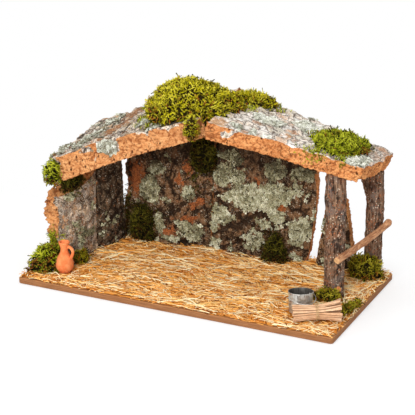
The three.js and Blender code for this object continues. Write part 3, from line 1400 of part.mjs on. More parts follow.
// Middle line of the twine: a tail, the loops round the waist, and the other tail
function twinePath() {
  const stepsPerLoop = 24;
  const tailSteps = 7;
  const steps = TWINE_LOOPS * stepsPerLoop;
  const points = [];
  for (let step = -tailSteps; step <= steps + tailSteps; step += 1) {
    const beyond = Math.max(-step, step - steps, 0) / tailSteps;
    const loops = Math.min(Math.max(step, 0), steps) / stepsPerLoop;
    const sense = Math.sign(step - steps / 2);
    const along = TWINE_PITCH * (loops - TWINE_LOOPS / 2) + sense * TWINE_TAIL_SPREAD * beyond;
    const angle = toRadians(TWINE_START + 360 * loops + sense * TWINE_TAIL_TURN * beyond);
    const edges = bundleRadius(Math.abs(along)) / Math.cos(Math.PI / OUTER_STICKS);
    const radius = edges + TWINE_DIAMETER / 2 + SEAT_GAP + beyond;
    points.push(new THREE.Vector3(along, radius * Math.cos(angle), radius * Math.sin(angle)));
  }
  return points;
}

function twineBody() {
  const path = twinePath();
  console.log(`twine least gap to itself ${leastSelfGap(path, TWINE_DIAMETER).toFixed(2)} mm`);
  return sweptBody(path, 6, () => TWINE_DIAMETER / 2, new THREE.Vector3(1, 0, 0));
}

// Least clear distance between stretches of a tube that aren't next to each other along it
function leastSelfGap(points, diameter) {
  const apart = 8;
  let least = Infinity;
  for (let i = 0; i < points.length; i += 1) {
    for (let j = i + apart; j < points.length; j += 1) {
      least = Math.min(least, points[i].distanceTo(points[j]) - diameter);
    }
  }
  return least;
}

export default stable;
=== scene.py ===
"""Looks of the cork nativity stable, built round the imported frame.

Bark slabs, logs, straw, moss, lichen, a clay jug, a zinc pail and a tied bundle of kindling are made
here in metres, in the frame's own place. Each sub-assembly is a class with its sizes as fields, and
each finish a small class that builds one material.
"""

import itertools
import logging
import math
from contextlib import contextmanager
from dataclasses import dataclass, field
from enum import Enum
from typing import Callable, Iterable, Iterator, Sequence, Union

import bpy
import numpy as np
from mathutils import Matrix, Vector
from mathutils.bvhtree import BVHTree


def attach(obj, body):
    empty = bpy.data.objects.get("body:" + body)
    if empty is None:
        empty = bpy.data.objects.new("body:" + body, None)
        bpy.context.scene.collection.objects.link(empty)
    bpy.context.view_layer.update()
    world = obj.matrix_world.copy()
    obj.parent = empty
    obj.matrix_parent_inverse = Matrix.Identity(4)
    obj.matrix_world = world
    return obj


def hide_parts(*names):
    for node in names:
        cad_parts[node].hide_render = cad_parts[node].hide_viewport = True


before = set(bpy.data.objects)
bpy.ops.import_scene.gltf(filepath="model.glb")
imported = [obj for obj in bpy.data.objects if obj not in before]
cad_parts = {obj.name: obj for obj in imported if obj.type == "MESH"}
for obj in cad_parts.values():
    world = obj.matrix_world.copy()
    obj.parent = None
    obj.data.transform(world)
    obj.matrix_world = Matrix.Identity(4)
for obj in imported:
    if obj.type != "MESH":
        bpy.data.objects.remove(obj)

log = logging.getLogger("nativity_stable")

MM = 0.001
STABLE = "stable"
BAIL = "bail"

SENSOR_WIDTH = 36.0
PHOTO_WIDTH = 415
PHOTO_FOCAL = 1800

JUG_PLACE = (-194.0, -82.0, 12.0)
PAIL_PLACE = (180.0, -69.7, 14.056)
BUNDLE_PLACE = (212.0, -88.5, 27.15)

CRACK_SEED = 61
EDGE_SEED = 71
FRAY_SEED = 81

Tint = tuple[float, float, float, float]
Triple = tuple[float, float, float]
Piece = bpy.types.Object


# Colour and shader maths


def tint(red: int, green: int, blue: int) -> Tint:
    """Turn a colour as seen on a screen into the linear colour that a shader takes.

    Args:
        red: Red, 0 to 255.
        green: Green, 0 to 255.
        blue: Blue, 0 to 255.

    Returns:
        The linear colour with full alpha.
    """
    def linear(part: int) -> float:
        """Linear value of one channel."""
        share = part / 255
        return share / 12.92 if share <= 0.04045 else ((share + 0.055) / 1.055) ** 2.4

    return linear(red), linear(green), linear(blue), 1.0


class Wire:
    """A value in a material's nodes; an expression on it adds its Math nodes."""

    def __init__(self, bench: "Bench", socket: bpy.types.NodeSocket) -> None:
        """Keep the bench that owns the nodes and the socket that gives the value."""
        self.bench = bench
        self.socket = socket

    def _math(self, operation: str, *values: "Number") -> "Wire":
        """Add one Math node on the given values."""
        return self.bench.node("ShaderNodeMath", {"operation": operation}, dict(enumerate(values)))

    def __add__(self, other: "Number") -> "Wire":
        """Sum."""
        return self._math("ADD", self, other)

    def __sub__(self, other: "Number") -> "Wire":
        """Difference."""
        return self._math("SUBTRACT", self, other)

    def __rsub__(self, other: "Number") -> "Wire":
        """Difference from a number."""
        return self._math("SUBTRACT", other, self)

    def __mul__(self, other: "Number") -> "Wire":
        """Product."""
        return self._math("MULTIPLY", self, other)

    __radd__ = __add__
    __rmul__ = __mul__

    def most(self, other: "Number") -> "Wire":
        """Larger of two values."""
        return self._math("MAXIMUM", self, other)

    def step(self, low: float, high: float) -> "Wire":
        """Rise smoothly from 0 at low to 1 at high, or fall where low is the larger.

        Args:
            low: Value that gives 0.
            high: Value that gives 1.

        Returns:
            The eased share.
        """
        sockets = {"Value": self, "From Min": low, "From Max": high}
        if low > high:
            sockets = {"Value": self, "From Min": high, "From Max": low, "To Min": 1.0, "To Max": 0.0}
        return self.bench.node("ShaderNodeMapRange", {"interpolation_type": "SMOOTHSTEP"}, sockets)


Number = Union[float, Wire]
Value = Union[float, Tint, Triple, Wire]


class Bench:
    """Builds the nodes of one material."""

    def __init__(self, name: str) -> None:
        """Start a material that holds a Principled shader.

        Args:
            name: The material's name.
        """
        self.material = bpy.data.materials.new(name)
        self.material.use_nodes = True
        self.tree = self.material.node_tree
        self.shader = self.tree.nodes["Principled BSDF"]

    def node(
        self, kind: str, settings: dict | None = None, sockets: dict | None = None, output: int = 0,
    ) -> Wire:
        """Add any node.

        Args:
            kind: Blender's name of the node's type.
            settings: Properties set first; "stops" fills a colour ramp.
            sockets: Value or wire for each input, by name or number.
            output: Which output to return.

        Returns:
            The chosen output.
        """
        made = self.tree.nodes.new(kind)
        for key, value in (settings or {}).items():
            if key == "stops":
                self._fill(made.color_ramp, value)
            else:
                setattr(made, key, value)
        for key, value in (sockets or {}).items():
            self.plug(made.inputs[key], value)
        return Wire(self, made.outputs[output])

    def plug(self, socket: bpy.types.NodeSocket, value: Value) -> None:
        """Link a wire to a socket, or set the socket's own value."""
        if isinstance(value, Wire):
            self.tree.links.new(value.socket, socket)
        else:
            socket.default_value = value

    @staticmethod
    def _fill(ramp: bpy.types.ColorRamp, stops: Sequence[tuple[float, Tint]]) -> None:
        """Give a colour ramp its stops."""
        while len(ramp.elements) < len(stops):
            ramp.elements.new(0.5)
        for element, (place, colour) in zip(ramp.elements, stops):
            element.position = place
            element.color = colour

    def here(self) -> Wire:
        """Place of the shaded point in the object's own metres."""
        return self.node("ShaderNodeTexCoord", output=3)

    def stretched(self, lengths: Triple, turn: Triple = (0.0, 0.0, 0.0)) -> Wire:
        """Object place turned, then divided by a length along each axis.

        Args:
            lengths: Size of the pattern along each axis, in millimetres.
            turn: Turn about each axis, in degrees.

        Returns:
            The place for a texture of scale 1.
        """
        return self.node("ShaderNodeMapping", {"vector_type": "TEXTURE"}, {
            "Vector": self.here(),
            "Rotation": tuple(math.radians(angle) for angle in turn),
            "Scale": tuple(length * MM for length in lengths),
        })

    def attribute(self, name: str) -> Wire:
        """Number that a piece's points carry under a name."""
        return self.node("ShaderNodeAttribute", {"attribute_name": name}, output=2)

    def noise(
        self, size: float = 1.0, detail: float = 3.0, rough: float = 0.55, place: Wire | None = None,
    ) -> Wire:
        """Soft noise between about 0 and 1.

        Args:
            size: Size of its lumps in millimetres, or 1 where the place is already scaled.
            detail: How many finer layers it has.
            rough: Strength of the finer layers.
            place: Place to read it at.

        Returns:
            The noise.
        """
        scale = 1.0 if place else 1 / (size * MM)
        return self.node("ShaderNodeTexNoise", None, {
            "Vector": place or self.here(), "Scale": scale, "Detail": detail, "Roughness": rough,
        })

    def cells(
        self, size: float = 1.0, feature: str = "F1", place: Wire | None = None, output: int = 0,
    ) -> Wire:
        """Cell pattern: distance to the nearest cell, or to the edge between two.

        Args:
            size: Size of a cell in millimetres, or 1 where the place is already scaled.
            feature: Blender's name of the measure.
            place: Place to read it at.
            output: 0 for the distance, 1 for the cell's own colour.

        Returns:
            The measure.
        """
        scale = 1.0 if place else 1 / (size * MM)
        return self.node("ShaderNodeTexVoronoi", {"feature": feature}, {
            "Vector": place or self.here(), "Scale": scale,
        }, output)

    def mixed(self, share: Number, first: Value, second: Value) -> Wire:
        """Colour between two colours.

        Args:
            share: How much of the second colour.
            first: First colour.
            second: Second colour.

        Returns:
            The mixed colour.
        """
        return self.node("ShaderNodeMix", {"data_type": "RGBA"}, {0: share, 6: first, 7: second}, 2)

    def ramp(self, value: Wire, *stops: tuple[float, Tint]) -> Wire:
        """Colour read from a ramp of stops."""
        return self.node("ShaderNodeValToRGB", {"stops": stops}, {"Fac": value})

    def bumped(self, height: Wire, depth: float) -> Wire:
        """Normal of a surface raised by a height.

        Args:
            height: Height between 0 and 1.
            depth: Depth of that whole height, in millimetres.

        Returns:
            The bumped normal.
        """
        return self.node("ShaderNodeBump", None, {"Height": height, "Distance": depth * MM})

    def done(
        self, colour: Value, roughness: Number, normal: Wire | None = None, **fixed: float,
    ) -> bpy.types.Material:
        """Plug the shader's main sockets and give the material.

        Args:
            colour: Base colour.
            roughness: Roughness.
            normal: Bumped normal.
            fixed: Plain numbers for other sockets, with _ for each space.

        Returns:
            The finished material.
        """
        self.plug(self.shader.inputs["Base Color"], colour)
        self.plug(self.shader.inputs["Roughness"], roughness)
        if normal:
            self.plug(self.shader.inputs["Normal"], normal)
        for key, value in fixed.items():
            self.plug(self.shader.inputs[key.replace("_", " ")], value)
        return self.material


# Finishes


@dataclass(frozen=True)
class CorkBarkFinish:
    """Cork slab: barked face, orange cork where it is cut or torn, lichen stains and rusty spots, with painted
    shade in the relief's hollows and, where asked, high on the walls under the roof.
    """

    name: str
    bark: Tint
    bark_dark: Tint
    bark_pale: Tint
    lichen: Tint
    cork: Tint = tint(206, 138, 84)
    cork_dark: Tint = tint(160, 92, 48)
    cork_pale: Tint = tint(228, 168, 112)
    cracks: Tint = tint(34, 22, 14)
    stained: Tint = tint(96, 90, 64)
    torn: tuple[Tint, Tint] = (tint(118, 66, 36), tint(190, 110, 62))
    scales: tuple[Tint, ...] = ()
    cover: float = 0.35
    roof_shade: float = 0.0
    pitted: float = 0.75
    scaled: float = 0.82
    crease_dark_and_shade: float = 0.85
    blotched: float = 0.0

    def build(self) -> bpy.types.Material:
        """Build the material; it reads the attributes bark, height, lichen and rust.

        Returns:
            The material.
        """
        bench = Bench(self.name)
        height = bench.attribute("height")
        ragged = bench.noise(7, 4, 0.65)
        barked = (bench.attribute("bark") + (ragged - 0.5) * 0.9).step(0.42, 0.54)
        frayed = (bench.noise(5, 5, 0.75) - 0.5) * 1.6 + (bench.noise(1.8, 4, 0.7) - 0.5) * 1.5
        rust = (bench.attribute("rust") + frayed).step(0.45, 0.8) * 0.92

        grit = bench.noise(1.7, 4, 0.72)
        patch = bench.noise(15, 4, 0.65)
        bark = bench.mixed(patch.step(0.44, 0.56), self.bark, self.bark_dark)
        if self.scales:
            bark = self._plates(bench, bark)
        blots = bench.noise(19, 4, 0.68).step(0.49, 0.56) * self.blotched
        bark = bench.mixed(blots, bark, self.bark_dark)
        bark = bench.mixed(grit.step(0.5, 0.66) * 0.85, bark, self.bark_pale)
        bark = bench.mixed((1 - bench.noise(3.1, 4, 0.65)).step(0.54, 0.68) * self.pitted, bark, self.cracks)
        warm = bench.noise(8, 4, 0.7).step(0.56, 0.68)
        bark = bench.mixed(warm * 0.6, bark, tint(160, 104, 66))
        flecks = bench.cells(2.8).step(0.38, 0.22) * bench.noise(9, 2).step(0.48, 0.6)
        bark = bench.mixed(flecks * 0.75, bark, tint(206, 196, 176))
        stain = (bench.attribute("lichen") + (bench.noise(4, 4, 0.7) - 0.5) * 0.8).step(0.4, 0.62)
        lobes = bench.cells(2.6, "DISTANCE_TO_EDGE").step(0.02, 0.16)
        bark = bench.mixed(stain * self.cover, bark, bench.mixed(lobes, self.stained, self.lichen))
        # Painted shade: high on the walls the bark is darkened towards the crack colour, where the roof's shadow
        # falls.
        if self.roof_shade:
            rise = bench.node("ShaderNodeSeparateXYZ", None, {"Vector": bench.here()}, 2)
            bark = bench.mixed(rise.step(0.12, 0.19) * self.roof_shade, bark, self.cracks)
        # Painted shade: bark low in the relief, in cracks and furrows, is darkened towards the crack colour, on
        # top of the cracks' own dark colour.
        bark = bench.mixed(height.step(0.42, 0.12) * self.crease_dark_and_shade, bark, self.cracks)

        bands = bench.noise(place=bench.stretched((12, 12, 4)), detail=5, rough=0.65)
        cork = bench.mixed(bands.step(0.4, 0.62), self.cork, self.cork_pale)
        cork = bench.mixed(bench.noise(34, 3, 0.6).step(0.46, 0.62) * 0.35, cork, self.cork_dark)
        cork = bench.mixed(bench.noise(2.4, 4, 0.7).step(0.5, 0.64) * 0.85, cork, self.cork_dark)
        cork = bench.mixed(bench.noise(1.0, 4, 0.7).step(0.56, 0.7) * 0.6, cork, tint(240, 194, 144))
        pits = bench.cells(place=bench.stretched((3.2, 3.2, 6.5), (8, 6, 0))).step(0.27, 0.15)
        pits = pits * bench.noise(9, 3).step(0.51, 0.6)
        large = bench.cells(place=bench.stretched((9, 9, 14), (4, 9, 0))).step(0.24, 0.14)
        cracks = bench.cells(place=bench.stretched((13, 13, 9)), feature="DISTANCE_TO_EDGE").step(0.04, 0.0)
        pits = pits.most(large * bench.noise(11, 2).step(0.46, 0.54))
        pits = pits.most(cracks * bench.noise(13, 2).step(0.57, 0.64))
        cork = bench.mixed(pits * 0.95, cork, tint(78, 38, 18))
        # Painted shade: cork low in the relief is darkened.
        cork = bench.mixed(height.step(0.4, 0.12) * 0.75, cork, tint(128, 66, 32))

        torn = bench.mixed(bench.noise(2.4, 4, 0.7).step(0.42, 0.6), *self.torn)
        torn = bench.mixed(bench.noise(1.7, 4, 0.7).step(0.55, 0.66) * 0.6, torn, self.cracks)
        bark = bench.mixed(rust, bark, torn)
        colour = bench.mixed(barked, cork, bark)
        relief = grit * 0.6 + lobes * stain * 0.5 + (1 - pits) * 0.8 + bench.noise(0.7, 3, 0.7) * 0.35
        return bench.done(colour, 0.95, bench.bumped(relief, 1.4), Specular_IOR_Level=0.08)

    def _plates(self, bench: Bench, bark: Wire) -> Wire:
        """Break the bark into flat scales of several tones with dark gaps and painted highlights along their
        rims.

        Args:
            bench: Where the nodes are made.
            bark: Colour below the scales.

        Returns:
            The scaled colour.
        """
        stray = bench.node("ShaderNodeTexNoise", None, {"Vector": bench.here(), "Scale": 130, "Detail": 3}, 1)
        scaled = bench.stretched((15, 13, 22))
        place = bench.node("ShaderNodeVectorMath", {"operation": "ADD"}, {0: scaled, 1: stray})
        tone = bench.node("ShaderNodeRGBToBW", None, {"Color": bench.cells(place=place, output=1)})
        scales = bench.ramp(tone, *zip((0.15, 0.32, 0.46, 0.58, 0.74), self.scales))
        bark = bench.mixed(self.scaled, bark, scales)
        edge = bench.cells(feature="DISTANCE_TO_EDGE", place=place)
        gap, rim = edge.step(0.1, 0.025), edge.step(0.2, 0.12)
        # Painted highlight: a near-white line along the rims of the scales.
        bark = bench.mixed(rim * (0.6 * self.scaled), bark, tint(255, 248, 238))
        return bench.mixed(gap * self.scaled, bark, self.cracks)


@dataclass(frozen=True)
class LichenFinish:
    """Leafy lichen, paler at its lobes than at its middle."""

    name: str
    low: Tint
    mid: Tint
    high: Tint

    def build(self) -> bpy.types.Material:
        """Build the material; it reads the attributes shade and tip.

        Returns:
            The material.
        """
        bench = Bench(self.name)
        shade = bench.attribute("shade")
        colour = bench.ramp(shade, (0.0, self.low), (0.45, self.mid), (1.0, self.high))
        grain = bench.noise(0.8, 3, 0.7)
        colour = bench.mixed(bench.attribute("tip").step(0.8, 0.1) * 0.55, colour, self.low)
        colour = bench.mixed(grain.step(0.5, 0.7) * 0.4, colour, self.high)
        return bench.done(colour, 0.95, bench.bumped(grain, 0.3), Specular_IOR_Level=0.05)


@dataclass(frozen=True)
class MossFinish:
    """Dried moss, darkened low on its sprigs as painted shade in the clump's depth, and bright yellow-green at
    its tips.
    """

    name: str = "moss_sprigs"
    deep: Tint = tint(38, 30, 6)
    leaf: Tint = tint(116, 108, 8)
    bright: Tint = tint(208, 196, 16)
    tip: Tint = tint(248, 236, 82)
    dry: Tint = tint(168, 98, 34)

    def build(self) -> bpy.types.Material:
        """Build the material; it reads the attributes shade and tip.

        Returns:
            The material.
        """
        bench = Bench(self.name)
        tip = bench.attribute("tip")
        shade = bench.attribute("shade")
        leaf = bench.ramp(
            shade, (0.0, self.dry), (0.1, self.dry), (0.14, self.deep), (0.36, self.leaf), (0.7, self.bright),
            (1.0, self.tip),
        )
        # Painted shade: the lower part of each sprig takes the deep colour, for the shade inside the clump.
        colour = bench.mixed(tip.step(0.28, 0.74), self.deep, leaf)
        colour = bench.mixed(tip.step(0.8, 1.0) * 0.35, colour, self.tip)
        grain = bench.noise(0.6, 2)
        return bench.done(colour, 0.85, bench.bumped(grain, 0.2), Specular_IOR_Level=0.08)


@dataclass(frozen=True)
class StrawFinish:
    """Chopped straw, from pale cream stalks to deep gold."""

    name: str = "chopped_straw"

    def build(self) -> bpy.types.Material:
        """Build the material; it reads the attributes shade and tip.

        Returns:
            The material.
        """
        bench = Bench(self.name)
        shade = bench.attribute("shade")
        colour = bench.ramp(
            shade, (0.0, tint(116, 58, 14)), (0.22, tint(196, 116, 38)), (0.5, tint(240, 166, 76)),
            (0.75, tint(255, 206, 124)), (1.0, tint(255, 240, 194)),
        )
        fibre = bench.noise(0.5, 3, 0.6)
        colour = bench.mixed(fibre.step(0.5, 0.75) * 0.3, colour, tint(172, 110, 44))
        colour = bench.mixed(bench.attribute("tip").step(0.93, 1.0) * 0.3, colour, tint(140, 88, 36))
        return bench.done(colour, 0.75, bench.bumped(fibre, 0.15), Specular_IOR_Level=0.1)


@dataclass(frozen=True)
class LogFinish:
    """Thin furrowed branch bark with pale and rusty specks, dark knots and torn wood."""

    name: str = "branch_bark"

    def build(self) -> bpy.types.Material:
        """Build the material; it reads the attributes height, knot and torn.

        Returns:
            The material.
        """
        bench = Bench(self.name)
        furrows = bench.noise(place=bench.stretched((2.4, 2.4, 15)), detail=4, rough=0.65)
        colour = bench.mixed(furrows.step(0.36, 0.66), tint(66, 45, 34), tint(150, 120, 96))
        wide = bench.noise(20, 3, 0.6)
        colour = bench.mixed(wide.step(0.45, 0.7) * 0.55, colour, tint(126, 80, 54))
        colour = bench.mixed(bench.noise(26, 2).step(0.52, 0.7) * 0.5, colour, tint(112, 106, 102))
        rust = bench.cells(place=bench.stretched((2.5, 2.5, 3.4))).step(0.34, 0.18)
        colour = bench.mixed(rust * bench.noise(8, 2).step(0.42, 0.54) * 0.9, colour, tint(196, 110, 64))
        pale = bench.cells(place=bench.stretched((3.3, 3.3, 3.3), (20, 30, 0))).step(0.32, 0.16)
        colour = bench.mixed(pale * bench.noise(7, 2).step(0.44, 0.56) * 0.9, colour, tint(230, 212, 188))
        # Painted shade: bark low in the relief, down in its furrows, is darkened towards near-black.
        colour = bench.mixed(bench.attribute("height").step(0.4, 0.1) * 0.8, colour, tint(28, 22, 20))
        knot = (bench.attribute("knot") + (bench.noise(3, 3) - 0.5) * 0.5).step(0.4, 0.7)
        burr = bench.mixed(furrows.step(0.4, 0.6), tint(26, 18, 14), tint(86, 64, 52))
        colour = bench.mixed(knot * 0.75, colour, burr)
        torn = (bench.attribute("torn") + (bench.noise(4, 4, 0.7) - 0.5) * 0.7).step(0.4, 0.56)
        fibre = bench.noise(place=bench.stretched((1.2, 1.2, 9)), detail=3)
        wood = bench.mixed(fibre.step(0.35, 0.65), tint(196, 104, 50), tint(232, 158, 96))
        colour = bench.mixed(torn, colour, wood)
        relief = furrows * 0.8 + rust * 0.2 + pale * 0.3 + bench.noise(1, 3) * 0.4
        return bench.done(colour, 0.92, bench.bumped(relief, 1.1), Specular_IOR_Level=0.1)


@dataclass(frozen=True)
class TwigFinish:
    """Smooth reddish twig bark, with pale sawn ends."""

    name: str = "twig_bark"

    def build(self) -> bpy.types.Material:
        """Build the material; it reads the attribute end.

        Returns:
            The material.
        """
        bench = Bench(self.name)
        grain = bench.noise(place=bench.stretched((2.2, 16, 2.2), (0, 0, -12)), detail=4, rough=0.6)
        colour = bench.mixed(grain.step(0.34, 0.68), tint(152, 100, 66), tint(210, 158, 116))
        colour = bench.mixed(bench.noise(9, 3).step(0.55, 0.7) * 0.5, colour, tint(104, 62, 46))
        lens = bench.cells(place=bench.stretched((2.2, 5.4, 2.2))).step(0.22, 0.1)
        colour = bench.mixed(lens * 0.7, colour, tint(214, 178, 146))
        end = bench.attribute("end")
        wood = bench.mixed(bench.noise(1.3, 3).step(0.4, 0.66), tint(216, 172, 122), tint(186, 134, 88))
        colour = bench.mixed(end, colour, wood)
        return bench.done(colour, 0.75, bench.bumped(grain + lens * 0.4, 0.5), Specular_IOR_Level=0.15)


@dataclass(frozen=True)
class HardboardFinish:
    """Smooth reddish-brown hardboard, paler along its broken edges."""

    name: str = "hardboard"
    top: float = 9.0

    def build(self) -> bpy.types.Material:
        """Build the material.

        Returns:
            The material.
        """
        bench = Bench(self.name)
        fibre = bench.noise(place=bench.stretched((26, 26, 1.1)), detail=5, rough=0.65)
        colour = bench.mixed(fibre.step(0.32, 0.7), tint(128, 82, 48), tint(160, 110, 70))
        colour = bench.mixed(bench.noise(1.1, 4, 0.7).step(0.5, 0.72) * 0.35, colour, tint(116, 74, 42))
        place = bench.node("ShaderNodeSeparateXYZ", None, {"Vector": bench.here()}, 2)
        rim = place.step((self.top - 1.4) * MM, (self.top - 0.5) * MM)
        colour = bench.mixed(rim * 0.35, colour, tint(196, 140, 88))
        wear = bench.noise(5, 4, 0.7).step(0.6, 0.72)
        colour = bench.mixed(wear * 0.25, colour, tint(196, 140, 92))
        rough = 0.62 + fibre * 0.2
        return bench.done(
            colour, rough, bench.bumped(fibre + bench.noise(0.8, 2) * 0.4, 0.18), Specular_IOR_Level=0.2,
        )


@dataclass(frozen=True)
class ClayFinish:
    """Unglazed fired clay with faint turning lines, bloom and specks."""

    name: str = "fired_clay"

    def build(self) -> bpy.types.Material:
        """Build the material.

        Returns:
            The material.
        """
        bench = Bench(self.name)
        cloud = bench.noise(9, 3, 0.6)
        colour = bench.mixed(cloud.step(0.3, 0.7), tint(226, 120, 66), tint(242, 150, 94))
        colour = bench.mixed(bench.noise(2.6, 4, 0.7).step(0.56, 0.76) * 0.45, colour, tint(250, 184, 132))
        colour = bench.mixed(bench.cells(1.7).step(0.16, 0.06) * 0.6, colour, tint(150, 76, 46))
        rings = bench.noise(place=bench.stretched((60, 60, 1.1)), detail=2)
        colour = bench.mixed(rings.step(0.5, 0.8) * 0.2, colour, tint(200, 100, 56))
        relief = rings * 0.6 + bench.noise(0.7, 3) * 0.4
        return bench.done(colour, 0.86, bench.bumped(relief, 0.25), Specular_IOR_Level=0.25)


@dataclass(frozen=True)
class ZincFinish:
    """Dull zinc-coated sheet and wire: spangle, rubbed streaks and grime, and painted shade inside the pail."""

    name: str = "dull_zinc"

    def build(self) -> bpy.types.Material:
        """Build the material; it reads the attribute inside.

        Returns:
            The material.
        """
        bench = Bench(self.name)
        spangle = bench.cells(3.2, output=1)
        tone = bench.node("ShaderNodeRGBToBW", None, {"Color": spangle})
        colour = bench.mixed(tone, tint(176, 174, 168), tint(222, 220, 212))
        streak = bench.noise(place=bench.stretched((2, 2, 18)), detail=4, rough=0.65)
        colour = bench.mixed(streak.step(0.46, 0.66) * 0.7, colour, tint(98, 94, 88))
        grime = bench.noise(6, 4, 0.7).step(0.56, 0.72)
        colour = bench.mixed(grime * 0.55, colour, tint(96, 84, 70))
        # Painted shade: the inside of the pail is darkened and dulled.
        inside = bench.attribute("inside")
        colour = bench.mixed(inside * 0.88, colour, tint(54, 47, 40))
        rough = 0.3 + tone * 0.12 + grime * 0.3
        bench.plug(bench.shader.inputs["Metallic"], 0.9 - grime.most(inside) * 0.35)
        return bench.done(colour, rough, bench.bumped(streak + bench.noise(1, 2) * 0.5, 0.12))


@dataclass(frozen=True)
class SplintFinish:
    """Split pale wood with fine fibres along its length."""

    name: str = "split_wood"
    turn: float = 25.0

    def build(self) -> bpy.types.Material:
        """Build the material; it reads the attributes shade, end and split.

        Returns:
            The material.
        """
        bench = Bench(self.name)
        fibre = bench.noise(place=bench.stretched((24, 0.7, 0.7), (0, 0, self.turn)), detail=4, rough=0.65)
        shade = bench.attribute("shade")
        wood = bench.ramp(
            shade, (0.0, tint(206, 156, 114)), (0.5, tint(228, 184, 144)), (1.0, tint(240, 206, 170)),
        )
        colour = bench.mixed(fibre.step(0.46, 0.7) * 0.6, wood, tint(172, 116, 78))
        colour = bench.mixed(fibre.step(0.42, 0.3) * 0.5, colour, tint(250, 224, 192))
        colour = bench.mixed(bench.noise(5, 3).step(0.6, 0.75) * 0.4, colour, tint(182, 128, 92))
        colour = bench.mixed(bench.attribute("end") * 0.45, colour, tint(176, 122, 82))
        colour = bench.mixed(bench.attribute("split") * 0.8, colour, tint(120, 72, 44))
        return bench.done(colour, 0.8, bench.bumped(fibre, 0.35), Specular_IOR_Level=0.12)


@dataclass(frozen=True)
class TwineFinish:
    """Natural twine of two plies with fine hairs of colour."""

    name: str = "natural_twine"

    def build(self) -> bpy.types.Material:
        """Build the material; it reads the attribute tip.

        Returns:
            The material.
        """
        bench = Bench(self.name)
        hair = bench.noise(0.35, 4, 0.7)
        colour = bench.mixed(hair.step(0.35, 0.7), tint(176, 134, 84), tint(232, 206, 160))
        colour = bench.mixed(bench.attribute("tip").step(0.9, 1.0) * 0.4, colour, tint(248, 230, 196))
        return bench.done(colour, 0.9, bench.bumped(hair, 0.2), Specular_IOR_Level=0.2)


@dataclass(frozen=True)
class ScrewSteelFinish:
    """Plated steel of the screws under the board."""

    name: str = "plated_steel"

    def build(self) -> bpy.types.Material:
        """Build the material.

        Returns:
            The material.
        """
        bench = Bench(self.name)
        haze = bench.noise(2.5, 4, 0.6)
        colour = bench.mixed(haze.step(0.4, 0.7), tint(206, 208, 210), tint(150, 150, 150))
        return bench.done(colour, 0.28 + haze * 0.2, bench.bumped(haze, 0.05), Metallic=1.0)


# Shop work on meshes


GRAIN_VALUES = 8192
LATTICE_HASH = np.array([73856093, 19349663, 83492791])
HASH_MIX = 2654435761


class Grain:
    """Smooth seeded noise over places, between about -1 and 1."""

    def __init__(self, seed: int) -> None:
        """Draw the table of values.

        Args:
            seed: Number that fixes the pattern.
        """
        self.table = np.random.default_rng(seed).uniform(-1, 1, GRAIN_VALUES)

    def at(self, points: np.ndarray, size: float, layers: int = 1) -> np.ndarray:
        """Noise at each point.

        Args:
            points: Places, one row each, in metres.
            size: Size of the lumps in millimetres.
            layers: How many layers, each half as large and half as strong.

        Returns:
            One value per point.
        """
        total = np.zeros(len(points))
        for layer in range(layers):
            total += self._layer(points / (size * MM) * 2**layer + 17.3 * layer) / 2**layer
        return total

    def _layer(self, places: np.ndarray) -> np.ndarray:
        """One layer of value noise on a unit lattice."""
        cell = np.floor(places).astype(np.int64)
        part = places - cell
        ease = part * part * (3 - 2 * part)
        total = np.zeros(len(places))
        for corner in itertools.product((0, 1), repeat=3):
            key = (cell + corner) @ LATTICE_HASH
            key = (key ^ (key >> 11)) * HASH_MIX
            weight = np.prod(np.where(np.array(corner) == 1, ease, 1 - ease), axis=1)
            total += self.table[((key >> 7) & 0xFFFFFFFF) % len(self.table)] * weight
        return total


def smooth_step(values: np.ndarray, low: float, high: float) -> np.ndarray:
    """Rise smoothly from 0 at low to 1 at high, for each value."""
    share = np.clip((values - low) / (high - low), 0, 1)
    return share * share * (3 - 2 * share)


def pick_only(piece: Piece) -> None:
    """Deselect everything, then select and activate one piece."""
    bpy.ops.object.select_all(action="DESELECT")
    piece.select_set(True)
    bpy.context.view_layer.objects.active = piece


@contextmanager
def editing(piece: Piece) -> Iterator[bpy.types.Mesh]:
    """Enter edit mode on a piece with nothing selected, and leave it afterwards.

    Args:
        piece: The piece.

    Yields:
        Its mesh.
    """
    pick_only(piece)
    bpy.ops.object.mode_set(mode="EDIT")
    bpy.ops.mesh.select_all(action="DESELECT")
    try:
        yield piece.data
    finally:
        bpy.ops.object.mode_set(mode="OBJECT")


def select_points(piece: Piece, chosen: Callable[[Vector], bool]) -> None:
    """Select the points that a test chooses; called in edit mode.

    Args:
        piece: The piece in edit mode.
        chosen: Test on a point's place.
    """
    bpy.ops.mesh.select_mode(type="VERT")
    bpy.ops.mesh.select_all(action="DESELECT")
    bpy.ops.object.mode_set(mode="OBJECT")
    for vertex in piece.data.vertices:
        vertex.select = chosen(vertex.co)
    bpy.ops.object.mode_set(mode="EDIT")


def finish_modifier(piece: Piece, kind: str, **settings: object) -> None:
    """Add a modifier to a piece and apply it.

    Args:
        piece: The piece.
        kind: Blender's name of the modifier's type.
        settings: Its properties.
    """
    pick_only(piece)
    modifier = piece.modifiers.new(kind.lower(), kind)
    for key, value in settings.items():
        setattr(modifier, key, value)
    bpy.ops.object.modifier_apply(modifier=modifier.name)


def settle(piece: Piece) -> Piece:
    """Move a piece's place, turn and scale into its mesh."""
    pick_only(piece)
    bpy.ops.object.transform_apply(location=True, rotation=True, scale=True)
    return piece


def named(name: str) -> Piece:
    """Name the active piece and its mesh."""
    piece = bpy.context.object
    piece.name = name
    piece.data.name = name
    return piece


def joined(name: str, pieces: Sequence[Piece]) -> Piece:
    """Join pieces into one.

    Args:
        name: Name of the result.
        pieces: The pieces.

    Returns:
        The joined piece.
    """
    bpy.ops.object.select_all(action="DESELECT")
    for piece in pieces:
        piece.select_set(True)
    bpy.context.view_layer.objects.active = pieces[0]
    if len(pieces) > 1:
        bpy.ops.object.join()
    return named(name)


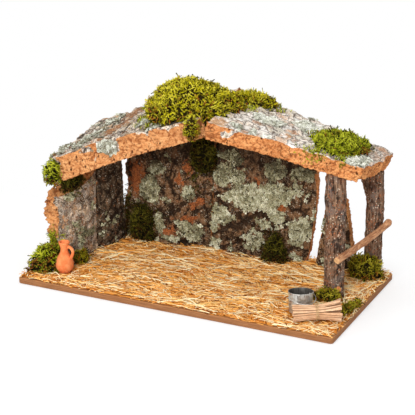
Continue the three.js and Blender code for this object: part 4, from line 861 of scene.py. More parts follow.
def smooth(piece: Piece, angle: float = 35.0) -> None:
    """Shade a piece smooth, but for edges sharper than an angle in degrees."""
    pick_only(piece)
    bpy.ops.object.shade_smooth_by_angle(angle=math.radians(angle))


def dress(piece: Piece, material: bpy.types.Material) -> None:
    """Give a piece one material."""
    piece.data.materials.clear()
    piece.data.materials.append(material)


def copied(node: str, name: str) -> Piece:
    """Copy a node of the frame as a new piece with its corners merged.

    Args:
        node: The node's name.
        name: The new piece's name.

    Returns:
        The copy.
    """
    piece = bpy.data.objects.new(name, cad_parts[node].data.copy())
    bpy.context.scene.collection.objects.link(piece)
    pick_only(piece)
    if piece.data.has_custom_normals:
        bpy.ops.mesh.customdata_custom_splitnormals_clear()
    piece.data.materials.clear()
    with editing(piece):
        bpy.ops.mesh.select_all(action="SELECT")
        bpy.ops.mesh.remove_doubles(threshold=0.02 * MM)
    return piece


def points_of(piece: Piece) -> np.ndarray:
    """Places of a piece's points, one row each."""
    flat = np.empty(len(piece.data.vertices) * 3)
    piece.data.vertices.foreach_get("co", flat)
    return flat.reshape(-1, 3)


def normals_of(piece: Piece) -> np.ndarray:
    """Normals at a piece's points, one row each."""
    flat = np.empty(len(piece.data.vertices) * 3)
    piece.data.vertex_normals.foreach_get("vector", flat)
    return flat.reshape(-1, 3)


def move_points(piece: Piece, points: np.ndarray) -> None:
    """Put a piece's points at new places."""
    piece.data.vertices.foreach_set("co", points.ravel())
    piece.data.update()


def mark(piece: Piece, name: str, values: np.ndarray) -> None:
    """Store one number per point on a piece, under a name that its material reads."""
    layer = piece.data.attributes.get(name) or piece.data.attributes.new(name, "FLOAT", "POINT")
    layer.data.foreach_set("value", np.asarray(values, np.float32))


def weigh(piece: Piece, name: str, values: np.ndarray) -> None:
    """Store one weight per point as a vertex group, in steps of a twentieth."""
    group = piece.vertex_groups.get(name) or piece.vertex_groups.new(name=name)
    steps = np.round(np.clip(values, 0, 1) * 20).astype(int)
    for step in range(21):
        members = np.flatnonzero(steps == step)
        if len(members):
            group.add(members.tolist(), step / 20, "REPLACE")


def blurred(piece: Piece, values: np.ndarray, rounds: int) -> np.ndarray:
    """Average a value over neighbouring points, again and again.

    Args:
        piece: The piece whose edges join the points.
        values: One value per point.
        rounds: How many times.

    Returns:
        The blurred values.
    """
    edges = np.empty(len(piece.data.edges) * 2, np.int32)
    piece.data.edges.foreach_get("vertices", edges)
    start, end = edges.reshape(-1, 2).T
    count = len(values)
    near = np.bincount(start, minlength=count) + np.bincount(end, minlength=count)
    for _ in range(rounds):
        total = np.bincount(start, values[end], count) + np.bincount(end, values[start], count)
        values = 0.5 * values + 0.5 * total / np.maximum(near, 1)
    return values


def triangles_of(piece: Piece) -> np.ndarray:
    """Corner numbers of a piece's triangles, one row each."""
    piece.data.calc_loop_triangles()
    flat = np.empty(len(piece.data.loop_triangles) * 3, np.int32)
    piece.data.loop_triangles.foreach_get("vertices", flat)
    return flat.reshape(-1, 3)


class Skin:
    """Surface of a piece, from which seeded places are drawn."""

    def __init__(self, piece: Piece) -> None:
        """Read the piece's triangles.

        Args:
            piece: The piece.
        """
        self.points = points_of(piece)
        self.normals = normals_of(piece)
        self.corners = triangles_of(piece)
        a, b, c = (self.points[self.corners[:, side]] for side in range(3))
        self.areas = np.linalg.norm(np.cross(b - a, c - a), axis=1) / 2

    def draw(self, count: int, rng: np.random.Generator, wanted: np.ndarray) -> tuple[np.ndarray, np.ndarray]:
        """Draw places, more where a wish is higher.

        Args:
            count: How many.
            rng: Source of chance.
            wanted: Wish for each of the piece's points, from 0 up.

        Returns:
            The places and the normals there, one row each.
        """
        share = self.areas * wanted[self.corners].mean(axis=1)
        chosen = rng.choice(len(share), count, p=share / share.sum())
        first, second = rng.random((2, count, 1))
        over = first + second > 1
        first, second = np.where(over, 1 - first, first), np.where(over, 1 - second, second)
        weights = (1 - first - second, first, second)
        corners = self.corners[chosen]
        places = sum(weight * self.points[corners[:, side]] for side, weight in enumerate(weights))
        normals = sum(weight * self.normals[corners[:, side]] for side, weight in enumerate(weights))
        return places, normals / np.linalg.norm(normals, axis=1, keepdims=True)


@dataclass
class Copies:
    """Where many copies of one model go: origin, axes, scale and shade of each."""

    origins: np.ndarray
    axes: np.ndarray
    scales: np.ndarray
    shades: np.ndarray

    @staticmethod
    def facing(
        origins: np.ndarray, forward: np.ndarray, scales: np.ndarray, shades: np.ndarray,
        rng: np.random.Generator,
    ) -> "Copies":
        """Copies whose own Z looks forward, each turned by chance about it.

        Args:
            origins: Origin of each copy.
            forward: Direction of each copy's Z.
            scales: Scale along each copy's three axes.
            shades: Shade of each copy, 0 to 1.
            rng: Source of chance.

        Returns:
            The copies.
        """
        forward = forward / np.linalg.norm(forward, axis=1, keepdims=True)
        loose = rng.normal(size=forward.shape)
        side = np.cross(forward, loose)
        side /= np.linalg.norm(side, axis=1, keepdims=True)
        return Copies(origins, np.stack([side, np.cross(forward, side), forward], axis=1), scales, shades)


def sown(name: str, models: Sequence[Piece], batches: Sequence[Copies], tips: Sequence[np.ndarray]) -> Piece:
    """Build one piece from many copies of small models.

    Args:
        name: The new piece's name.
        models: The models, whose own size is 1.
        batches: The copies of each model.
        tips: For each model, a number per point that its material reads as tip.

    Returns:
        The piece, with the attributes shade and tip.
    """
    places, faces, shades, ends, start = [], [], [], [], 0
    for model, batch, tip in zip(models, batches, tips):
        shape, corners = points_of(model), triangles_of(model)
        spread = shape[None] * batch.scales[:, None, :]
        placed = np.einsum("npk,nkj->npj", spread, batch.axes) + batch.origins[:, None, :]
        places.append(placed.reshape(-1, 3))
        steps = start + len(shape) * np.arange(len(placed))
        faces.append((corners[None] + steps[:, None, None]).reshape(-1, 3))
        shades.append(np.repeat(batch.shades, len(shape)))
        ends.append(np.tile(tip, len(placed)))
        start += len(shape) * len(placed)
    mesh = bpy.data.meshes.new(name)
    points, corners = np.concatenate(places), np.concatenate(faces)
    mesh.vertices.add(len(points))
    mesh.vertices.foreach_set("co", points.ravel())
    mesh.loops.add(corners.size)
    mesh.loops.foreach_set("vertex_index", corners.ravel().astype(np.int32))
    mesh.polygons.add(len(corners))
    mesh.polygons.foreach_set("loop_start", np.arange(0, corners.size, 3, dtype=np.int32))
    mesh.update(calc_edges=True)
    piece = bpy.data.objects.new(name, mesh)
    bpy.context.scene.collection.objects.link(piece)
    mark(piece, "shade", np.concatenate(shades))
    mark(piece, "tip", np.concatenate(ends))
    return piece


def dropped(pieces: Sequence[Piece]) -> None:
    """Delete models that were only copied from."""
    for piece in pieces:
        bpy.data.objects.remove(piece, do_unlink=True)


@dataclass(frozen=True)
class Relief:
    """One layer of relief that a Displace modifier presses into a surface, in millimetres."""

    kind: str
    size: float
    depth: float
    level: float = 0.5
    group: str = ""
    stretch: Triple = (1.0, 1.0, 1.0)
    turn: Triple = (0.0, 0.0, 0.0)
    flat: float = 0.0

    def press(self, piece: Piece) -> None:
        """Press this layer into a piece.

        Args:
            piece: The piece.
        """
        texture = bpy.data.textures.new("relief", self.kind)
        texture.noise_scale = self.size * MM
        if self.kind == "VORONOI":
            texture.weight_1, texture.weight_2 = -1.0, 1.0
            texture.noise_intensity = 1.4
        else:
            texture.noise_depth = 3
        if self.flat:
            texture.use_color_ramp = True
            ramp = texture.color_ramp
            ramp.elements[0].color, ramp.elements[1].color = (0, 0, 0, 1), (1, 1, 1, 1)
            ramp.elements[1].position = 1.0
            shoulder = ramp.elements.new(self.flat)
            shoulder.color = (0.8, 0.8, 0.8, 1)
        bpy.ops.object.empty_add(location=(0, 0, 0))
        guide = bpy.context.object
        guide.rotation_euler = [math.radians(angle) for angle in self.turn]
        guide.scale = self.stretch
        bpy.context.view_layer.update()
        finish_modifier(
            piece, "DISPLACE", texture=texture, texture_coords="OBJECT", texture_coords_object=guide,
            strength=self.depth * MM, mid_level=self.level, vertex_group=self.group,
        )
        bpy.data.objects.remove(guide, do_unlink=True)
        bpy.data.textures.remove(texture)


def pressed(piece: Piece, layers: Sequence[Relief]) -> np.ndarray:
    """Press layers of relief into a piece and mark how high each point came to stand.

    Args:
        piece: The piece; it gets the attribute height, from 0 in a crack to 1 on a crest.
        layers: The layers, in order.

    Returns:
        That height for each point.
    """
    before, outward = points_of(piece), normals_of(piece)
    for layer in layers:
        layer.press(piece)
    raised = np.einsum("ij,ij->i", points_of(piece) - before, outward)
    low, high = np.percentile(raised, (1, 99))
    height = np.clip((raised - low) / (high - low), 0, 1)
    mark(piece, "height", height)
    return height


@dataclass(frozen=True)
class Spot:
    """Soft-edged patch about a place, in millimetres."""

    centre: Triple
    radii: Triple

    def weight(self, points: np.ndarray) -> np.ndarray:
        """Weight of this patch at each point, 1 in its middle."""
        away = (points / MM - np.array(self.centre)) / np.array(self.radii)
        return np.exp(-((away**2).sum(axis=1) ** 1.5))


def spots(*rows: tuple[float, ...]) -> list[Spot]:
    """Patches from rows of a centre and three radii, in millimetres."""
    return [Spot(row[:3], row[3:]) for row in rows]


def pushes(*rows: tuple[float, ...]) -> list[tuple[Spot, Triple]]:
    """Patches that swell, from rows of a centre, three radii and how far each is pushed."""
    return [(Spot(row[:3], row[3:6]), row[6:]) for row in rows]


def spotted(points: np.ndarray, patches: Sequence[Spot], ragged: float = 5.0) -> np.ndarray:
    """Largest weight of any patch at each point.

    Args:
        points: The points.
        patches: The patches.
        ragged: How far their edges stray, in millimetres.

    Returns:
        One weight per point.
    """
    total = np.zeros(len(points))
    if patches:
        stray = [
            Grain(EDGE_SEED + side).at(points, 13, 1) + 0.6 * Grain(FRAY_SEED + side).at(points, 4.5, 2)
            for side in range(3)
        ]
        points = points + ragged * MM * np.stack(stray, axis=1)
    for spot in patches:
        total = np.maximum(total, spot.weight(points))
    return total


@dataclass(frozen=True)
class Crack:
    """Crooked crack along an upright face, as places across and up, in millimetres."""

    course: tuple[tuple[float, float], ...]
    width: float = 2.4

    def weight(self, points: np.ndarray) -> np.ndarray:
        """Weight of the crack at each point, 1 in its middle."""
        flat = points[:, [0, 2]] / MM
        near = np.full(len(points), 1e9)
        for start, end in zip(np.array(self.course[:-1]), np.array(self.course[1:])):
            run = end - start
            share = np.clip((flat - start) @ run / (run @ run), 0, 1)
            near = np.minimum(near, np.linalg.norm(flat - start - share[:, None] * run, axis=1))
        return np.exp(-((near / self.width) ** 2))


def turned_body(name: str, profile: Sequence[tuple[float, float]], sides: int) -> Piece:
    """Turn a body by raising a ring along a profile, closed at both ends.

    Args:
        name: The piece's name.
        profile: Radius and height of each ring in millimetres; the first and last are small.
        sides: How many sides the rings have.

    Returns:
        The piece, standing at the origin.
    """
    radius, height = profile[0]
    bpy.ops.object.select_all(action="DESELECT")
    bpy.ops.mesh.primitive_circle_add(
        vertices=sides, radius=radius * MM, fill_type="TRIFAN", location=(0, 0, height * MM),
    )
    piece = settle(named(name))
    with editing(piece):
        bpy.ops.mesh.select_mode(type="FACE")
        bpy.ops.mesh.select_all(action="SELECT")
        for wider, higher in profile[1:]:
            bpy.ops.mesh.extrude_region_move(TRANSFORM_OT_translate={"value": (0, 0, (higher - height) * MM)})
            scale = wider / radius
            bpy.ops.transform.resize(value=(scale, scale, 1), center_override=(0, 0, higher * MM))
            radius, height = wider, higher
        bpy.ops.mesh.select_all(action="SELECT")
        bpy.ops.mesh.normals_make_consistent(inside=False)
    return piece


def tube(name: str, points: np.ndarray, width: float, sides: int = 4, cyclic: bool = False) -> Piece:
    """Round tube along points, closed at its ends.

    Args:
        name: The piece's name.
        points: Its middle line in metres.
        width: Its diameter in millimetres.
        sides: How finely it is rounded; twice this plus four sides.
        cyclic: Whether it is a closed ring.

    Returns:
        The tube as a mesh.
    """
    curve = bpy.data.curves.new(name, "CURVE")
    curve.dimensions = "3D"
    curve.bevel_depth = width * MM / 2
    curve.bevel_resolution = sides
    curve.use_fill_caps = True
    spline = curve.splines.new("POLY")
    spline.points.add(len(points) - 1)
    spline.points.foreach_set("co", np.c_[points, np.ones(len(points))].ravel())
    spline.use_cyclic_u = cyclic
    piece = bpy.data.objects.new(name, curve)
    bpy.context.scene.collection.objects.link(piece)
    pick_only(piece)
    bpy.ops.object.convert(target="MESH")
    piece = bpy.context.object
    with editing(piece):
        bpy.ops.mesh.select_all(action="SELECT")
        bpy.ops.mesh.remove_doubles(threshold=0.005 * MM)
        bpy.ops.mesh.normals_make_consistent(inside=False)
    return piece


def ridden(piece: Piece, slot: str, material: bpy.types.Material, *nodes: str, body: str = STABLE) -> Piece:
    """Dress a finished piece, tie it to a body and hide the nodes that it stands for.

    Args:
        piece: The finished piece.
        slot: The record's slot of its finish; not used.
        material: Its material.
        nodes: The frame's nodes that it stands for.
        body: The body that carries it.

    Returns:
        The piece.
    """
    dress(piece, material)
    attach(piece, body)
    if nodes:
        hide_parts(*nodes)
    log.info("made %s with %d points", piece.name, len(piece.data.vertices))
    return piece


# Studio


def laid(tree: bpy.types.NodeTree, *kinds: str) -> list[bpy.types.Node]:
    """Empty a node tree, then add one node of each kind."""
    tree.nodes.clear()
    return [tree.nodes.new(f"ShaderNode{kind}") for kind in kinds]


def linked(tree: bpy.types.NodeTree, *links: tuple) -> None:
    """Link nodes, each link given as a node, its output, the next node and its input."""
    for source, output, target, socket in links:
        tree.links.new(source.outputs[output], target.inputs[socket])


@dataclass
class Studio:
    """Camera, lamps and the white table under the stable."""

    target: Triple = (0.002334, 0.0, 0.117676)
    azimuth: float = 24.884
    elevation: float = 21.432
    distance: float = 2.63885
    focal: float = SENSOR_WIDTH * PHOTO_FOCAL / PHOTO_WIDTH
    key: float = 84.0
    fill: float = 16.0
    top: float = 22.0
    side: float = 6.5
    air: float = 0.42
    far: float = 30.0

    def build(self) -> None:
        """Set up the whole studio."""
        bpy.context.scene.view_settings.view_transform = "Standard"
        self._camera()
        for name, place, size, power in (
            ("key", (0.3, -2.9, 1.75), 1.3, self.key), ("fill", (-2.4, -1.4, 1.6), 1.6, self.fill),
            ("top", (0.1, 0.3, 2.6), 1.6, self.top), ("side", (2.5, -0.9, 0.9), 1.2, self.side),
        ):
            self._lamp(name, place, size, power)
        self._world()
        self._table()

    def _camera(self) -> None:
        """Add the camera at the photograph's angle."""
        turn, rise = math.radians(self.azimuth), math.radians(self.elevation)
        away = Vector((math.sin(turn) * math.cos(rise), -math.cos(turn) * math.cos(rise), math.sin(rise)))
        bpy.ops.object.camera_add(location=Vector(self.target) + away * self.distance)
        camera = bpy.context.object
        camera.name = "photo_camera"
        camera.rotation_euler = (-away).to_track_quat("-Z", "Y").to_euler()
        camera.data.sensor_width = SENSOR_WIDTH
        camera.data.lens = self.focal
        camera.data.clip_end = self.far
        bpy.context.scene.camera = camera

    def _lamp(self, name: str, place: Triple, size: float, power: float) -> None:
        """Add a soft square lamp that looks at the stable.

        Args:
            name: Its name.
            place: Where it hangs.
            size: Its side in metres.
            power: Its power in watts.
        """
        bpy.ops.object.light_add(type="AREA", location=place)
        lamp = bpy.context.object
        lamp.name = name
        lamp.data.size = size
        lamp.data.energy = power
        lamp.rotation_euler = (Vector(self.target) - Vector(place)).to_track_quat("-Z", "Y").to_euler()

    def _world(self) -> None:
        """Light the stable softly from all round, and show white behind it."""
        world = bpy.context.scene.world or bpy.data.worlds.new("studio")
        bpy.context.scene.world = world
        world.use_nodes = True
        out, path, seen, air, white, choice = laid(
            world.node_tree, "OutputWorld", "LightPath", "Math", "Background", "Background", "MixShader",
        )
        seen.operation = "MAXIMUM"
        air.inputs["Strength"].default_value = self.air
        for background in (air, white):
            background.inputs["Color"].default_value = (1, 1, 1, 1)
        linked(
            world.node_tree, (path, "Is Camera Ray", seen, 0), (path, "Is Glossy Ray", seen, 1),
            (seen, 0, choice, 0), (air, 0, choice, 1), (white, 0, choice, 2), (choice, 0, out, 0),
        )

    def _table(self) -> None:
        """Lay a white table that keeps the stable's soft shadow."""
        bpy.ops.mesh.primitive_plane_add(size=12, location=(0, 0, -0.0004))
        table = named("white_table")
        material = bpy.data.materials.new("white_table")
        material.use_nodes = True
        out, paint, glow, choice, path, share, away, place, far, parts, behind, most = laid(
            material.node_tree, "OutputMaterial", "BsdfDiffuse", "Emission", "MixShader", "LightPath", "Math",
            "VectorMath", "TexCoord", "MapRange", "SeparateXYZ", "MapRange", "Math",
        )
        paint.inputs["Color"].default_value = (0.96, 0.96, 0.96, 1)
        glow.inputs["Color"].default_value = (1, 1, 1, 1)
        share.operation, away.operation, most.operation = "MULTIPLY", "LENGTH", "MAXIMUM"
        for fade, low, high in ((far, 0.3, 0.75), (behind, 0.1, 0.2)):
            for socket, value in (("From Min", low), ("From Max", high), ("To Min", 0.5), ("To Max", 1.0)):
                fade.inputs[socket].default_value = value
        linked(
            material.node_tree, (place, "Object", away, 0), (away, "Value", far, "Value"),
            (place, "Object", parts, 0), (parts, "Y", behind, "Value"), (far, 0, most, 0),
            (behind, 0, most, 1), (most, 0, share, 1), (path, "Is Camera Ray", share, 0), (share, 0, choice, 0),
            (paint, 0, choice, 1), (glow, 0, choice, 2), (choice, 0, out, 0),
        )
        dress(table, material)


# Bark


class Walls:
    """Closed pieces as one search tree that tells what lies inside them."""

    def __init__(self, pieces: Sequence[Piece]) -> None:
        """Gather the pieces' triangles.

        Args:
            pieces: Closed pieces.
        """
        points, corners, start = [], [], 0
        for piece in pieces:
            points.append(points_of(piece))
            corners.append(triangles_of(piece) + start)
            start += len(points[-1])
        self.tree = BVHTree.FromPolygons(np.concatenate(points).tolist(), np.concatenate(corners).tolist())

    def hold(self, places: np.ndarray) -> np.ndarray:
        """Tell which places lie inside one of the pieces."""
        inside = np.zeros(len(places), bool)
        for index, place in enumerate(places):
            hit, normal, _, _ = self.tree.find_nearest(place, 0.03)
            inside[index] = hit is not None and (Vector(place) - hit).dot(normal) < 0
        return inside


@dataclass
class CorkSlab:
    """One slab of cork bark, carved over its node: cracked bark on one face, torn cork all round."""

    node: str
    facing: Triple
    plates: Triple
    turn: Triple
    lichens: list[Spot] = field(default_factory=list)
    rusts: list[Spot] = field(default_factory=list)
    barked: list[Spot] = field(default_factory=list)
    swells: list[tuple[Spot, Triple]] = field(default_factory=list)
    cracks: list[Crack] = field(default_factory=list)
    layered: float = 0.0
    grain: float = 1.5
    crack: float = 2.6
    swell: float = 2.6
    cover: float = 0.0
    furrow: float = 3.2
    seed: int = 1

    def build(self, material: bpy.types.Material, slot: str) -> Piece:
        """Carve the slab.

        Args:
            material: Its finish.
            slot: The record's slot of that finish.

        Returns:
            The slab, with the attributes bark, height, lichen and rust.
        """
        piece = copied(self.node, f"{self.node}_bark")
        finish_modifier(piece, "REMESH", mode="VOXEL", voxel_size=self.grain * MM, use_smooth_shade=True)
        points = points_of(piece)
        for spot, push in self.swells:
            points += spot.weight(points)[:, None] * np.array(push) * MM
        move_points(piece, points)
        outward = normals_of(piece)
        face = smooth_step(outward @ np.array(self.facing), 0.25, 0.7)
        bark = np.maximum(blurred(piece, face, 16), smooth_step(spotted(points, self.barked), 0.1, 0.5))
        mark(piece, "bark", bark)
        rust = spotted(points, self.rusts, 8.0) * smooth_step(bark, 0.4, 0.7)
        mark(piece, "rust", rust)
        stray = 3 * MM * np.stack([Grain(CRACK_SEED + side).at(points, 7, 2) for side in range(3)], axis=1)
        sunk = np.max([crack.weight(points + stray) for crack in self.cracks] or [0 * bark], axis=0) * bark
        free = (1 - np.sqrt(sunk)) * smooth_step(-rust, -0.7, -0.4)
        mark(piece, "lichen", self.lichen_at(points, bark) * free)
        weigh(piece, "bark", smooth_step(bark, 0.45, 0.8))
        weigh(piece, "cut", 1 - smooth_step(bark, 0.4, 0.75))
        # Height is zeroed along the cracks, so the finish darkens them as painted shade on top of their own dark
        # colour.
        mark(piece, "height", pressed(piece, self._layers()) * (1 - sunk))
        move_points(piece, points_of(piece) - outward * sunk[:, None] * self.furrow * MM)
        return ridden(piece, slot, material, self.node)

    def lichen_at(self, points: np.ndarray, bark: np.ndarray) -> np.ndarray:
        """Cover of lichen at places on the slab.

        Args:
            points: The places.
            bark: How far each lies on the barked face.

        Returns:
            The cover, from 0 to 1.
        """
        noise = Grain(self.seed)
        rough = noise.at(points, 17, 3) * 0.42
        chosen = spotted(points, self.lichens)
        spread = np.clip(self.cover + rough, 0, 1) if self.cover else 0
        cover = np.clip(np.maximum(chosen + 0.35 * rough * (chosen > 0.08), spread), 0, 1)
        return cover * smooth_step(bark, 0.5, 0.8)

    def _layers(self) -> list[Relief]:
        """Layers of relief, coarse to fine."""
        split = Relief("VORONOI", 9, self.layered, 0.75, "cut", (2.2, 2.2, 0.6), (5, 3, 0), 0.2)
        return [
            *([split] if self.layered else []),
            Relief("VORONOI", 17, self.crack, 0.55, "bark", self.plates, self.turn, 0.3),
            Relief("VORONOI", 6.5, self.crack * 0.45, 0.5, "bark", self.plates, self.turn, 0.4),
            Relief("CLOUDS", 9, self.swell, 0.5, ""),
            Relief("CLOUDS", 3.4, 1.5, 0.5, "bark"),
            Relief("VORONOI", 6, 1.9, 0.6, "cut", (1.3, 1.3, 1.0), (6, 4, 0), 0.35),
            Relief("CLOUDS", 3.6, 1.7, 0.5, "cut"),
        ]


class LichenKind(Enum):
    """Two kinds of lichen: broad leafy lobes, and a small-leaved crust."""

    LEAFY = "leafy"
    CRUST = "crust"


@dataclass
class LichenPatches:
    """Small lobed leaves of lichen, sown over the slabs where their attribute lichen is high."""

    name: str
    kind: LichenKind
    count: int
    width: tuple[float, float]
    lift: float = 0.5
    curl: float = 1.0
    tilt: float = 0.28
    seed: int = 5

    def build(self, slabs: Sequence[Piece], material: bpy.types.Material, slot: str) -> Piece:
        """Sow the leaves.

        Args:
            slabs: Carved slabs that carry them.
            material: Their finish.
            slot: The record's slot of that finish.

        Returns:
            The leaves as one piece.
        """
        rng = np.random.default_rng(self.seed)
        models = [self._leaf(f"leaf_{turn}", lobes) for turn, lobes in enumerate((5, 6, 7))]
        places, normals = self._spots(slabs, rng)
        share = np.array_split(rng.permutation(len(places)), len(models))
        batches = [self._batch(places[part], normals[part], rng) for part in share]
        tips = [np.clip(np.linalg.norm(points_of(model)[:, :2], axis=1), 0, 1) for model in models]
        piece = sown(self.name, models, batches, tips)
        dropped(models)
        smooth(piece, 60)
        return ridden(piece, slot, material)

    def _spots(self, slabs: Sequence[Piece], rng: np.random.Generator) -> tuple[np.ndarray, np.ndarray]:
        """Places and normals for the leaves, shared among the slabs by their cover."""
        skins = [Skin(slab) for slab in slabs]
        wishes = []
        for slab in slabs:
            values = np.empty(len(slab.data.vertices), np.float32)
            slab.data.attributes["lichen"].data.foreach_get("value", values)
            wishes.append(smooth_step(values.astype(float), 0.34, 0.6))
        shares = np.array([
            (skin.areas * wish[skin.corners].mean(axis=1)).sum() for skin, wish in zip(skins, wishes)
        ])
        counts = np.maximum((self.count * shares / shares.sum()).astype(int), 1)
        drawn = [skin.draw(count, rng, wish + 1e-9) for skin, wish, count in zip(skins, wishes, counts)]
        return np.concatenate([place for place, _ in drawn]), np.concatenate([normal for _, normal in drawn])

    def _batch(self, places: np.ndarray, normals: np.ndarray, rng: np.random.Generator) -> Copies:
        """Lay leaves on their places, tilted and lifted a little by chance."""
        count = len(places)
        size = rng.uniform(*self.width, count)[:, None] * MM / 2
        spread = rng.uniform(0.6, 1.15, (2, count))
        scales = size * np.c_[spread[0], spread[1], rng.uniform(0.6, 1.4, count) * self.curl]
        tilt = normals + rng.normal(0, self.tilt, normals.shape)
        lifted = places + normals * rng.uniform(0.1, self.lift, (count, 1)) * MM
        # Painted shade: wall leaves near the top are darkened where the roof's shadow falls, and leaves further
        # left are darker; on the roofs the crust is darker on the left roof than on the right.
        shade_and_tone = 0.46 * smooth_step(places[:, 2], 0.12, 0.175) + 0.2 * smooth_step(-places[:, 0], 0.08, 0.13)
        if self.kind is LichenKind.CRUST:
            shade_and_tone = 0.3 - 0.38 * smooth_step(places[:, 0], -0.01, 0.03)
        shades = 0.56 - shade_and_tone + Grain(self.seed).at(places, 13, 2) * 0.3 + rng.normal(0, 0.24, count)
        return Copies.facing(lifted, tilt, scales, np.clip(shades, 0, 1), rng)

    def _leaf(self, name: str, lobes: int) -> Piece:
        """Model one leaf: a thin closed dish with notches between its raised lobes.

        Args:
            name: Its name.
            lobes: How many lobes it has.

        Returns:
            The leaf, of radius 1, looking up.
        """
        bpy.ops.object.select_all(action="DESELECT")
        bpy.ops.mesh.primitive_cone_add(
            vertices=2 * lobes, radius1=1, radius2=0, depth=0.24, end_fill_type="TRIFAN",
        )
        piece = named(name)
        deep = 0.5 if self.kind is LichenKind.LEAFY else 0.7
        with editing(piece):
            select_points(piece, lambda place: place.xy.length > 0.5)
            bpy.ops.transform.translate(value=(0, 0, 0.34))
            step = math.pi / lobes
            select_points(
                piece,
                lambda place: place.xy.length > 0.5 and round(math.atan2(place.y, place.x) / step) % 2 == 1,
            )
            bpy.ops.transform.resize(value=(deep, deep, 1), center_override=(0, 0, 0))
        return piece


# Straw


